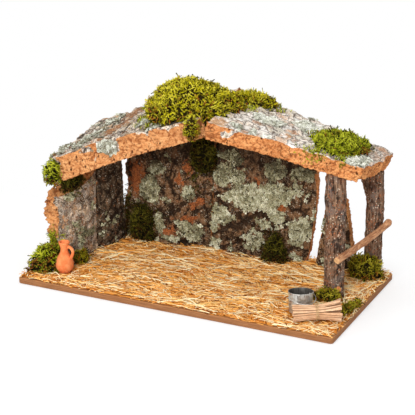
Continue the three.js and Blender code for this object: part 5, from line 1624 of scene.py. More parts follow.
@dataclass
class StrawLitter:
    """Chopped straw: a thick mat with thousands of loose stalks lying over it, mostly side to side."""

    half_length: float = 249.0
    half_depth: float = 124.0
    floor: float = 9.4
    short: int = 6000
    middling: int = 5000
    long: int = 1150
    lift: float = 0.8
    pile: float = 4.2
    jug_room: float = 11.0
    pail_room: float = 17.5
    bundle_reach: float = 32.0
    bundle_room: float = 11.0
    bundle_slope: float = 0.466
    bundle_rise: float = 12.5
    seed: int = 11

    def build(self, material: bpy.types.Material, barriers: Sequence[Piece]) -> None:
        """Lay the mat and sow the stalks.

        Args:
            material: Their finish.
            barriers: Carved walls and posts that the stalks keep clear of.
        """
        rng = np.random.default_rng(self.seed)
        self._mat(material)
        self.walls = Walls(barriers)
        models = [self._stalk(f"stalk_of_{steps}", steps) for steps in (2, 3, 4)]
        tips = [np.abs(points_of(model)[:, 0]) * 2 for model in models]
        batches = [
            self._batch(count, lengths, widths, rng, loose) for count, lengths, widths, loose in (
                (self.short, (5, 14), (0.7, 1.6), 1.0), (self.middling, (13, 32), (0.7, 1.5), 0.55),
                (self.long, (30, 64), (1.0, 1.9), 0.36),
            )
        ]
        for name, part in (("straw_stalks_short", slice(0, 1)), ("straw_stalks_long", slice(1, 3))):
            piece = sown(name, models[part], batches[part], tips[part])
            smooth(piece, 40)
            ridden(piece, "straw", material)
        dropped(models)

    def _mat(self, material: bpy.types.Material) -> None:
        """Roughen the bed itself, which shows between the stalks."""
        piece = copied("straw_bed", "straw_mat")
        finish_modifier(piece, "REMESH", mode="VOXEL", voxel_size=1.3 * MM, use_smooth_shade=True)
        finish_modifier(piece, "DECIMATE", ratio=0.25)
        top = smooth_step(points_of(piece)[:, 2] / MM, 10, 11)
        weigh(piece, "top", top)
        for layer in (
            Relief("CLOUDS", 3.5, 1.6, 0.6, "top", (3.0, 0.7, 1.0)),
            Relief("CLOUDS", 2.0, 1.0, 0.5, "top", (2.6, 0.6, 1.0), (0, 0, 35)),
        ):
            layer.press(piece)
        # Painted shade: the mat showing between the stalks gets a low, dark shade.
        mark(piece, "shade", 0.22 + 0.25 * Grain(3).at(points_of(piece) * np.array((0.3, 1, 1)), 1.8, 2))
        mark(piece, "tip", np.zeros(len(piece.data.vertices)))
        ridden(piece, "straw", material, "straw_bed")

    @staticmethod
    def _stalk(name: str, steps: int) -> Piece:
        """Model one stalk of length 1 along X: flattened, kinked, closed at both ends.

        Args:
            name: Its name.
            steps: How many straight lengths it has.

        Returns:
            The stalk, 1 wide and 1 thick.
        """
        bpy.ops.object.select_all(action="DESELECT")
        bpy.ops.mesh.primitive_cylinder_add(
            vertices=4, radius=0.5, depth=1 / steps, end_fill_type="NGON",
            location=(0.5 / steps - 0.5, 0, 0), rotation=(0, math.radians(90), 0),
        )
        piece = settle(named(name))
        with editing(piece):
            for step in range(1, steps):
                select_points(piece, lambda place, edge=step / steps - 0.5: place.x > edge - 1e-4)
                bpy.ops.mesh.select_mode(type="FACE")
                bpy.ops.mesh.extrude_region_move(TRANSFORM_OT_translate={"value": (1 / steps, 0, 0)})
            for step in range(1, steps):
                select_points(piece, lambda place, edge=step / steps - 0.5: abs(place.x - edge) < 1e-3)
                bend = 0.5 if step % 2 else -0.3
                bpy.ops.transform.translate(value=(0, bend, 1.2 * bend))
        return piece

    def _batch(
        self, count: int, lengths: tuple[float, float], widths: tuple[float, float],
        rng: np.random.Generator, loose: float,
    ) -> Copies:
        """Lay stalks over the board, clear of the walls, posts and what stands on it.

        Args:
            count: How many.
            lengths: Least and greatest length in millimetres.
            widths: Least and greatest width in millimetres.
            rng: Source of chance.
            loose: How far they stray from lying side to side.

        Returns:
            The stalks' places.
        """
        size = rng.uniform(*lengths, 2 * count)
        heading = rng.normal(0.02, loose, 2 * count)
        x = rng.uniform(-self.half_length, self.half_length, 2 * count)
        y = rng.uniform(-self.half_depth, self.half_depth, 2 * count)
        swirl = 0.4 * Grain(self.seed).at(np.c_[x, y, 0 * x] * MM, 45)
        right = smooth_step(x, 180, 235)
        left = smooth_step(-x, 120, 200) * smooth_step(-y, -20, 40)
        heading = heading * (1 + 1.6 * right + 1.3 * left) + swirl
        reach = size / 2
        keep = (np.abs(x) + reach * np.abs(np.cos(heading)) < self.half_length + 3)
        keep &= np.abs(y) + reach * np.abs(np.sin(heading)) < self.half_depth + 3
        rise = self.floor + self.lift + self.pile * rng.random(2 * count) ** 1.5
        keep &= self._clear(x, y, reach, heading, rise)
        chosen = np.flatnonzero(keep)[:count]
        x, y, rise, size, heading = (values[chosen] for values in (x, y, rise, size, heading))
        tilt = rng.normal(0, 1.4, len(chosen)) / size
        along = np.c_[np.cos(heading), np.sin(heading), tilt]
        along /= np.linalg.norm(along, axis=1, keepdims=True)
        roll = rng.normal(0, 0.5, len(chosen))
        across = np.c_[-np.sin(heading), np.cos(heading), np.zeros(len(chosen))]
        upward = np.cross(along, across)
        side = across * np.cos(roll)[:, None] + upward * np.sin(roll)[:, None]
        width = rng.uniform(*widths, len(chosen))
        scales = np.c_[size, width, width * rng.uniform(0.3, 0.6, len(chosen))] * MM
        depth = np.clip((rise - self.floor - self.lift) / self.pile, 0, 1)
        # Painted light and shade: stalks high in the pile are lighter and low ones darker, stalks at the right
        # end are lightened, and long stalks are paler.
        bright = 0.3 * depth + 0.22 * smooth_step(x, 160, 220) + 0.2 * (size > 34)
        shades = np.clip(rng.normal(0.39, 0.31, len(chosen)) + bright, 0, 1)
        axes = np.stack([along, side, np.cross(along, side)], axis=1)
        return Copies(np.c_[x, y, rise] * MM, axes, scales, shades)

    def _clear(
        self, x: np.ndarray, y: np.ndarray, reach: np.ndarray, heading: np.ndarray, rise: np.ndarray,
    ) -> np.ndarray:
        """Tell which stalks keep clear of everything that stands on the board."""
        keep = np.ones(len(x), bool)
        for share in (-1, -0.5, 0, 0.5, 1):
            px, py = x + share * reach * np.cos(heading), y + share * reach * np.sin(heading)
            for place, room in ((JUG_PLACE, self.jug_room), (PAIL_PLACE, self.pail_room)):
                keep &= np.hypot(px - place[0], py - place[1]) > room
            ahead = px - BUNDLE_PLACE[0]
            aside = py - BUNDLE_PLACE[1] - self.bundle_slope * ahead
            over = (np.abs(ahead) <= self.bundle_reach) & (np.abs(aside) <= self.bundle_room)
            keep &= ~(over & (rise >= self.bundle_rise))
        middle = np.c_[x, y, np.full(len(x), 14.0)] * MM
        ahead = np.c_[np.cos(heading), np.sin(heading), 0 * x] * reach[:, None] * MM
        for spots in (middle - ahead, middle, middle + ahead):
            keep[keep] = ~self.walls.hold(spots[keep])
        return keep


# Logs


@dataclass
class LogPost:
    """Upright log with furrowed bark, carved over its node."""

    node: str
    knots: list[Spot]
    torn: list[Spot] = field(default_factory=list)

    def build(self, material: bpy.types.Material) -> Piece:
        """Carve the log.

        Args:
            material: Its finish.

        Returns:
            The log, with the attributes height, knot and torn.
        """
        piece = copied(self.node, f"{self.node}_log")
        finish_modifier(piece, "REMESH", mode="VOXEL", voxel_size=1.1 * MM, use_smooth_shade=True)
        points = points_of(piece)
        mark(piece, "knot", spotted(points, self.knots))
        mark(piece, "torn", spotted(points, self.torn))
        pressed(piece, [
            Relief("CLOUDS", 9, 2.2, 0.5),
            Relief("VORONOI", 5.5, 0.9, 0.6, "", (1, 1, 3.2), (0, 0, 0), 0.3),
            Relief("CLOUDS", 2.6, 1.3, 0.55, "", (1, 1, 4)),
        ])
        return ridden(piece, "log", material, self.node)


@dataclass
class SideRail:
    """Thin branch between the posts, with sawn ends."""

    node: str = "side_rail"
    knob: Spot = Spot((247, 114, 93), (9, 15, 9))

    def build(self, material: bpy.types.Material) -> Piece:
        """Carve the rail.

        Args:
            material: Its finish.

        Returns:
            The rail, with the attribute end.
        """
        piece = copied(self.node, "side_rail_branch")
        finish_modifier(piece, "REMESH", mode="VOXEL", voxel_size=0.9 * MM, use_smooth_shade=True)
        points = points_of(piece)
        along = np.linalg.svd(points - points.mean(axis=0), full_matrices=False)[2][0]
        mark(piece, "end", smooth_step(np.abs(normals_of(piece) @ along), 0.72, 0.9))
        knobbed = self.knob.weight(points)[:, None]
        move_points(piece, points + knobbed * (normals_of(piece) * 1.4 + np.array((0, 0, 2.6))) * MM)
        pressed(piece, [
            Relief("CLOUDS", 10, 1.4, 0.5), Relief("CLOUDS", 3, 0.6, 0.5, "", (1, 4, 1), (0, 0, -12)),
        ])
        smooth(piece, 50)
        return ridden(piece, "twig", material, self.node)


# Moss


@dataclass
class MossClump:
    """How one clump of moss grows."""

    material: bpy.types.Material
    length: tuple[float, float] = (7.0, 13.0)
    density: float = 0.1
    shrink: float = 3.6
    bald: list[Spot] = field(default_factory=list)


@dataclass
class MossBed:
    """Clumps of dried moss, a core for each node coloured dark as painted shade under leafy sprigs, and strays
    on the bark.
    """

    most: int = 2900
    seed: int = 23

    def build(self, clumps: dict[str, MossClump], walls: Walls) -> None:
        """Grow every clump.

        Args:
            clumps: How each clump grows, by its node.
            walls: What carries them and stops their sprigs.
        """
        self.models = [self._sprig(f"sprig_{turn}", turn) for turn in range(4)]
        self.tips = [0.3 + 0.7 * np.clip(points_of(model)[:, 2], 0, 1) for model in self.models]
        for number, (node, growth) in enumerate(clumps.items()):
            rng = np.random.default_rng(self.seed + number)
            clump = copied(node, f"{node}_core")
            finish_modifier(clump, "REMESH", mode="VOXEL", voxel_size=2.2 * MM, use_smooth_shade=True)
            batches = self._grown(clump, growth, rng, walls)
            if growth.bald:
                points = points_of(clump)
                points[:, 2] -= 13 * MM * spotted(points, growth.bald)
                move_points(clump, points)
            finish_modifier(clump, "DISPLACE", strength=-growth.shrink * MM, mid_level=0)
            Relief("CLOUDS", 7, 3.5, 0.5).press(clump)
            # Painted shade: the core takes the moss's dark deep colour, for the shade under the sprigs.
            mark(clump, "tip", np.full(len(clump.data.vertices), 0.3))
            mark(clump, "shade", np.full(len(clump.data.vertices), 0.3))
            ridden(clump, "moss", growth.material, node)
            ridden(sown(f"{node}_sprigs", self.models, batches, self.tips), "moss", growth.material)

    def stray(
        self, name: str, slabs: Sequence[Piece], patches: list[Spot], growth: MossClump, walls: Walls,
    ) -> None:
        """Grow thin moss straight from the bark round some places.

        Args:
            name: The new piece's name.
            slabs: Carved slabs that carry it.
            patches: Where it grows.
            growth: How it grows; its density counts where a spot is strongest.
            walls: What stops its sprigs.
        """
        rng = np.random.default_rng(self.seed)
        places, normals = [], []
        for slab in slabs:
            skin = Skin(slab)
            wish = spotted(skin.points, patches)
            count = int((skin.areas * wish[skin.corners].mean(axis=1)).sum() / MM**2 * growth.density)
            if count:
                drawn = skin.draw(count, rng, wish)
                places.append(drawn[0])
                normals.append(drawn[1])
        places, normals = np.concatenate(places), np.concatenate(normals)
        batches = self._planted(places, normals, growth, rng, walls, 0.75)
        ridden(sown(name, self.models, batches, self.tips), "moss", growth.material)

    def _grown(self, clump: Piece, growth: MossClump, rng: np.random.Generator, walls: Walls) -> list[Copies]:
        """Place the sprigs of one clump.

        Args:
            clump: Its remeshed copy, before it shrinks.
            growth: How it grows.
            rng: Source of chance.
            walls: What stops the sprigs.

        Returns:
            Copies for each of the models.
        """
        skin = Skin(clump)
        count = min(int(skin.areas.sum() / MM**2 * growth.density), self.most)
        wish = smooth_step(skin.normals[:, 2], -0.85, -0.2) + 0.02
        places, normals = skin.draw(count, rng, wish * (1 - 0.97 * spotted(skin.points, growth.bald)))
        hummocks = np.clip(Grain(self.seed + 5).at(places, 8, 2), 0, 1)
        ragged = 0.02 + 0.38 * hummocks + 0.3 * rng.random(count) ** 2
        return self._planted(places, normals, growth, rng, walls, ragged)

    def _planted(
        self, places: np.ndarray, normals: np.ndarray, growth: MossClump, rng: np.random.Generator,
        walls: Walls, out: np.ndarray | float,
    ) -> list[Copies]:
        """Stand sprigs on their places, leaning by chance.

        Args:
            places: Where they leave the surface.
            normals: The surface's normals there.
            growth: How they grow.
            rng: Source of chance.
            walls: What stops them.
            out: Share of a sprig's length that stands out of the surface.

        Returns:
            Copies for each of the models.
        """
        count = len(places)
        heading = normals + rng.normal(0, 0.6, normals.shape) + np.array((0, 0, 0.1))
        heading /= np.linalg.norm(heading, axis=1, keepdims=True)
        length = rng.uniform(*growth.length, count)
        reach = out * length
        origins = places + heading * (reach - length)[:, None] * MM
        free = ~walls.hold(places + heading * (reach + 0.6)[:, None] * MM)
        width = length * rng.uniform(0.7, 1.1, count)
        scales = np.c_[width, width, length] * MM
        deep = Grain(self.seed).at(places, 11, 2)
        low, high = np.percentile(places[:, 2], (2, 98))
        # Painted shade: sprigs low in the clump are darkened.
        shaded = 0.42 * smooth_step(places[:, 2], low + 0.7 * (high - low), low)
        shades = np.clip(0.6 - shaded + 0.3 * deep + rng.normal(0, 0.27, count), 0, 1)
        chosen = np.array_split(rng.permutation(np.flatnonzero(free)), len(self.models))
        return [
            Copies.facing(origins[part], heading[part], scales[part], shades[part], rng) for part in chosen
        ]

    @staticmethod
    def _sprig(name: str, variant: int) -> Piece:
        """Model one sprig of length 1 along Z: slim leaves spreading round a bowed stem.

        Args:
            name: Its name.
            variant: Which of its forms, from 0.

        Returns:
            The sprig.
        """
        bow = 0.1 + 0.07 * variant
        leaves = []
        for step in range(7):
            along = 0.3 + 0.56 * step / 6
            turn = math.radians(137.5 * step + 40 * variant)
            lean = math.radians(62 - 5 * step - 5 * variant)
            long = 0.34 - 0.022 * step
            away = Vector((math.sin(lean) * math.cos(turn), math.sin(lean) * math.sin(turn), math.cos(lean)))
            start = Vector((bow * along**2, 0, along))
            bpy.ops.mesh.primitive_cone_add(
                vertices=3, radius1=0.055, radius2=0, depth=long,
                location=start + away * long / 2, rotation=away.to_track_quat("Z", "X").to_euler(),
            )
            leaves.append(bpy.context.object)
        bpy.ops.mesh.primitive_cylinder_add(vertices=4, radius=0.07, depth=0.34, location=(0, 0, 0.17))
        stem = bpy.context.object
        with editing(stem):
            for step in (1, 2):
                select_points(stem, lambda place, top=0.17 + 0.33 * (step - 1): place.z > top - 0.02)
                bpy.ops.mesh.select_mode(type="FACE")
                rise = (bow * (2 * step - 1) / 4, 0, 0.33)
                bpy.ops.mesh.extrude_region_move(TRANSFORM_OT_translate={"value": rise})
                bpy.ops.transform.resize(value=(0.6, 0.6, 1))
        leaves.append(stem)
        return settle(joined(name, leaves))


# Things on the board


def eased(stations: Sequence[Sequence[float]], steps: int) -> np.ndarray:
    """Smooth curve through stations.

    Args:
        stations: Places, one row each.
        steps: Steps between two stations.

    Returns:
        Places along the curve, stations included.
    """
    fixed = np.asarray(stations, float)
    padded = np.concatenate([2 * fixed[:1] - fixed[1:2], fixed, 2 * fixed[-1:] - fixed[-2:-1]])
    rows = []
    for index in range(len(fixed) - 1):
        a, b, c, d = padded[index:index + 4]
        for step in range(steps):
            t = step / steps
            bent = (2 * a - 5 * b + 4 * c - d) * t**2 + (3 * b - a - 3 * c + d) * t**3
            rows.append(0.5 * (2 * b + (c - a) * t + bent))
    return np.array([*rows, fixed[-1]])


@dataclass
class ClayJug:
    """Small turned jug with one handle."""

    place: Triple = JUG_PLACE
    height: float = 48.0
    base: float = 8.75
    body: float = 13.5
    neck: float = 5.8
    rim: float = 8.3
    wall: float = 1.8
    handle: float = 4.8

    def build(self, material: bpy.types.Material) -> Piece:
        """Turn the jug and put its handle on.

        Args:
            material: Its finish.

        Returns:
            The jug.
        """
        outer = eased([
            (self.base, 0.9), (self.body * 0.93, 0.13 * self.height), (self.body, 0.27 * self.height),
            (self.body * 0.86, 0.45 * self.height), (self.neck * 1.12, 0.66 * self.height),
            (self.neck, 0.8 * self.height), (self.rim * 0.97, 0.95 * self.height),
            (self.rim, 0.985 * self.height),
        ], 5)
        inner = [(radius - self.wall, height) for radius, height in outer[::-1] if height > 4]
        foot = [(0.4, 0.6), (self.base * 0.7, 0.5), (self.base * 0.76, 0), (self.base * 0.95, 0)]
        lip = [(self.rim - 0.35, self.height), (self.rim - self.wall * 0.7, self.height)]
        floor = [(self.base * 0.5, 2.4), (0.4, 2.3)]
        profile = [*foot, *map(tuple, outer), *lip, *inner, *floor]
        vessel = turned_body("clay_jug_turned", profile, 56)
        top, side = self.height, self.neck
        bow = eased([
            (side - 0.6, 0, 0.83 * top), (side + 3.4, 0, 0.85 * top), (13.6, 0, 0.77 * top),
            (14.2, 0, 0.65 * top), (10.8, 0, 0.49 * top),
        ], 7)
        grip = tube("clay_jug_grip", bow * MM, self.handle, 5)
        piece = joined("clay_jug_turned", [vessel, grip])
        piece.location = Vector(self.place) * MM
        settle(piece)
        Relief("CLOUDS", 12, 0.7, 0.5).press(piece)
        smooth(piece, 45)
        return ridden(piece, "clay", material, "clay_jug")


@dataclass
class ZincPail:
    """Small leaning pail of sheet metal with ears and a wire bail."""

    place: Triple = PAIL_PLACE
    height: float = 30.0
    rim: float = 35.5
    base: float = 33.0
    wall: float = 0.8
    ear_height: float = 23.5
    reach: float = 20.35

    def pose(self) -> Matrix:
        """Where the pail stands and how it leans."""
        lean = Matrix.Rotation(math.radians(-6.5), 4, "X") @ Matrix.Rotation(math.radians(-3), 4, "Y")
        return Matrix.Translation(Vector(self.place) * MM) @ lean @ Matrix.Rotation(math.radians(50), 4, "Z")

    def build(self, material: bpy.types.Material) -> Piece:
        """Raise the pail's body with its beads, ears and rivets.

        Args:
            material: Its finish.

        Returns:
            The pail's body.
        """
        def side(height: float, out: float = 0.0) -> tuple[float, float]:
            """Radius and height of the outer side."""
            return self.base / 2 + (self.rim - self.base) / 2 * height / self.height + out, height

        bead = [side(10 + 1.1 * math.sin(a), 0.5 * math.cos(a)) for a in np.linspace(-1.5, 1.5, 7)]
        curl = [
            side(self.height - 0.8 + 0.8 * math.sin(a), 0.8 * math.cos(a)) for a in np.linspace(-1.5, 2.2, 9)
        ]
        inner = [(side(height)[0] - self.wall, height) for height in (28, 20, 11.2, 10, 8.8, 2.4)]
        floor = [(self.base / 2 - 1.6, 1.6), (0.4, 1.6)]
        foot = [
            (0.4, 1.0), (self.base / 2 - 1.6, 1.0), (self.base / 2 - 0.9, 0), side(0.0), side(1.4), side(5),
        ]
        parts = [turned_body("pail_body_sheet", [*foot, *bead, side(20), *curl, *inner, *floor], 64)]
        for sense in (-1, 1):
            parts += self._ear(sense)
        seam = side(15)[0] + 0.15
        bpy.ops.mesh.primitive_cube_add(
            size=1, location=(0, -seam * MM, 15 * MM), scale=(1.6 * MM, 0.5 * MM, 26 * MM),
        )
        parts.append(settle(bpy.context.object))
        finish_modifier(parts[-1], "BEVEL", width=0.2 * MM, segments=2)
        piece = joined("pail_body_sheet", parts)
        points, outward = points_of(piece), normals_of(piece)
        # Painted shade: the inner wall and inner floor are marked as inside, for the finish to darken.
        inward = smooth_step(-(points[:, :2] * outward[:, :2]).sum(axis=1) / MM, 1, 8)
        low = smooth_step(outward[:, 2], 0.5, 0.9) * smooth_step(-points[:, 2] / MM, -6, -3)
        mark(piece, "inside", np.maximum(inward, low))
        piece.matrix_world = self.pose()
        settle(piece)
        smooth(piece, 40)
        return ridden(piece, "zinc", material, "pail_body")

    def _ear(self, sense: int) -> list[Piece]:
        """Shape one ear: a tongue of sheet with a rolled top, held by a rivet.

        Args:
            sense: 1 for the right ear, -1 for the left one.

        Returns:
            The ear's pieces.
        """
        out = self.base / 2 + (self.rim - self.base) / 2 * self.ear_height / self.height
        bpy.ops.object.select_all(action="DESELECT")
        bpy.ops.mesh.primitive_cylinder_add(
            vertices=24, radius=3 * MM, depth=0.8 * MM, end_fill_type="NGON",
            location=(sense * (out + 0.5) * MM, 0, self.ear_height * MM), rotation=(0, math.radians(90), 0),
        )
        ear = settle(bpy.context.object)
        with editing(ear):
            select_points(ear, lambda place: place.z < (self.ear_height - 0.1) * MM)
            bpy.ops.transform.translate(value=(-sense * 0.1 * MM, 0, -4 * MM))
        finish_modifier(ear, "BEVEL", width=0.22 * MM, segments=2, limit_method="ANGLE")
        bpy.ops.mesh.primitive_uv_sphere_add(
            segments=20, ring_count=10, radius=1.1 * MM,
            location=(sense * (out + 0.7) * MM, 0, (self.ear_height - 5) * MM), scale=(0.7, 1, 1),
        )
        rivet = settle(bpy.context.object)
        with editing(rivet):
            select_points(rivet, lambda place: sense * place.x > (out + 1.3) * MM)
            bpy.ops.transform.translate(value=(-sense * 0.12 * MM, 0, 0))
        return [ear, rivet]

    def build_bail(self, material: bpy.types.Material) -> Piece:
        """Bend the wire bail, hooked through both ears.

        Args:
            material: Its finish.

        Returns:
            The bail, on its own body.
        """
        hook = [
            (15.271, 0, 2.6), (15.271, 0, 1.2), (15.631, 0, 0.36), (16.471, 0, 0), (19.15, 0, 0),
            (19.99, 0, -0.36),
        ]
        bow = [
            (self.reach * math.cos(angle), 0, -1.2 - 22.856 * math.sin(angle))
            for angle in np.linspace(0, math.pi, 45)
        ]
        left = [(-x, y, z) for x, y, z in hook[::-1]]
        wire = tube("pail_bail_wire", np.array([*hook, *bow, *left]) * MM, 1.2, 4)
        lift = Matrix.Translation((0, 0, self.ear_height * MM)) @ Matrix.Rotation(math.radians(-73), 4, "X")
        wire.matrix_world = self.pose() @ lift
        settle(wire)
        piece = named("pail_bail_wire")
        mark(piece, "inside", np.zeros(len(piece.data.vertices)))
        smooth(piece, 50)
        return ridden(piece, "zinc", material, "pail_bail", body=BAIL)


@dataclass
class KindlingBundle:
    """Split kindling tied round its waist with twine."""

    place: Triple = BUNDLE_PLACE
    turn: float = 25.0
    tilt: float = -3.7
    length: float = 68.0
    waist: float = 10.35
    left: float = 12.6
    right: float = 17.0
    thickness: float = 1.0
    loops: int = 3
    pitch: float = 1.7
    start: float = 262.0
    tail: float = 0.29
    tail_spread: float = 7.0
    tail_turn: float = 42.0
    lay: float = 2.2
    ply: float = 0.62
    ply_reach: float = 0.26
    knot: float = 0.95
    seed: int = 31

    def build(self, nodes: Sequence[str], wood: bpy.types.Material, cord: bpy.types.Material) -> None:
        """Carve the splints and wind the twine.

        Args:
            nodes: The splints' nodes.
            wood: Finish of the splints.
            cord: Finish of the twine.
        """
        rng = np.random.default_rng(self.seed)
        for number, node in enumerate(nodes):
            self._splint(node, number, rng, wood)
        self._twine(cord)

    def _splint(self, node: str, number: int, rng: np.random.Generator, wood: bpy.types.Material) -> None:
        """Carve one splint with its fibres.

        Args:
            node: Its node.
            number: Its number, which shifts its relief.
            rng: Source of chance.
            wood: Its finish.
        """
        piece = copied(node, f"{node}_splint")
        finish_modifier(piece, "REMESH", mode="VOXEL", voxel_size=0.7 * MM, use_smooth_shade=True)
        points = points_of(piece)
        along = np.linalg.svd(points - points.mean(axis=0), full_matrices=False)[2][0]
        mark(piece, "end", smooth_step(np.abs(normals_of(piece) @ along), 0.6, 0.85))
        tone = rng.uniform(0.15, 0.9)
        mark(piece, "shade", np.clip(tone + 0.25 * Grain(number).at(points, 6, 2), 0, 1))
        split = self._split(points, points.mean(axis=0), along, rng)
        mark(piece, "split", split)
        move_points(piece, points - normals_of(piece) * split[:, None] * 1.5 * MM)
        turn = (0, 0, self.turn + rng.normal(0, 3))
        pressed(piece, [
            Relief("CLOUDS", 1.5, 0.75, 0.55, "", (9, 1, 1), turn),
            Relief("CLOUDS", 7, 0.8, 0.6, "", (1.5, 1, 1), turn),
        ])
        ridden(piece, "kindling", wood, node)

    @staticmethod
    def _split(
        points: np.ndarray, middle: np.ndarray, along: np.ndarray, rng: np.random.Generator,
    ) -> np.ndarray:
        """Weight of a split that runs along a splint's broad faces.

        Args:
            points: The splint's points.
            middle: Their middle.
            along: Its direction.
            rng: Source of chance.

        Returns:
            1 in the split and 0 beside it.
        """
        away = points - middle
        away = away - (away @ along)[:, None] * along
        broad = np.linalg.svd(away, full_matrices=False)[2][0]
        across = away @ broad / MM
        run = (points - middle) @ along / MM
        line = rng.normal(0, 0.7) + rng.normal(0, 0.03) * run
        return np.exp(-(((across - line) / 0.65) ** 2))

    def _radius(self, along: float) -> float:
        """Radius of the bundle at a place along it."""
        end = self.left if along < 0 else self.right
        return self.waist + (end - self.waist) * abs(2 * along / self.length) ** 1.5

    def _path(self) -> np.ndarray:
        """Middle line of the twine: a tail, the loops round the waist, the other tail."""
        rows = []
        for turn in np.arange(-self.tail, self.loops + self.tail + 0.001, 1 / 72):
            loops = min(max(turn, 0), self.loops)
            beyond = abs(turn - loops) * 24 / 7
            sense = 1 if turn > 0 else -1
            along = self.pitch * (loops - self.loops / 2) + sense * self.tail_spread * beyond
            angle = math.radians(self.start + 360 * loops + sense * self.tail_turn * beyond)
            radius = self._radius(abs(along)) / math.cos(math.pi / 9) + self.thickness / 2 + 0.3 + beyond
            rows.append((along, radius * math.cos(angle), radius * math.sin(angle)))
        return np.array(rows)

    def _twine(self, cord: bpy.types.Material) -> None:
        """Wind two twisted plies along the path and knot them where the tails start."""
        path = self._path()
        forward = np.gradient(path, axis=0)
        forward /= np.linalg.norm(forward, axis=1, keepdims=True)
        side = np.cross(forward, (1.0, 0, 0))
        side /= np.linalg.norm(side, axis=1, keepdims=True)
        over = np.cross(forward, side)
        run = np.r_[0, np.cumsum(np.linalg.norm(np.diff(path, axis=0), axis=1))]
        plies = []
        for ply in range(2):
            angle = (run / self.lay + ply / 2) * 2 * math.pi
            wound = path + self.ply_reach * (side * np.cos(angle)[:, None] + over * np.sin(angle)[:, None])
            plies.append(tube(f"ply_{ply}", wound * MM, self.ply, 2))
        turns = np.linspace(0, 2 * math.pi, 60, endpoint=False)
        knot = np.c_[
            np.sin(turns) + 2 * np.sin(2 * turns), np.cos(turns) - 2 * np.cos(2 * turns), -np.sin(3 * turns),
        ] * 0.62
        centre = (path[20] + path[-21]) / 2
        facing = Matrix.Rotation(math.radians(self.start + 90), 3, "X")
        flat = facing @ Matrix.Rotation(math.radians(90), 3, "Y")
        knot = knot @ np.array(flat).T + centre
        plies.append(tube("knot", knot * MM, self.knot, 2, True))
        piece = joined("bundle_twine_plies", plies)
        turn = Matrix.Rotation(math.radians(self.turn), 4, "Z")
        lean = Matrix.Rotation(math.radians(self.tilt), 4, "Y")
        piece.matrix_world = Matrix.Translation(Vector(self.place) * MM) @ turn @ lean
        settle(piece)
        smooth(piece, 60)
        mark(piece, "tip", np.zeros(len(piece.data.vertices)))
        ridden(piece, "twine", cord, "bundle_twine")


# The whole stable


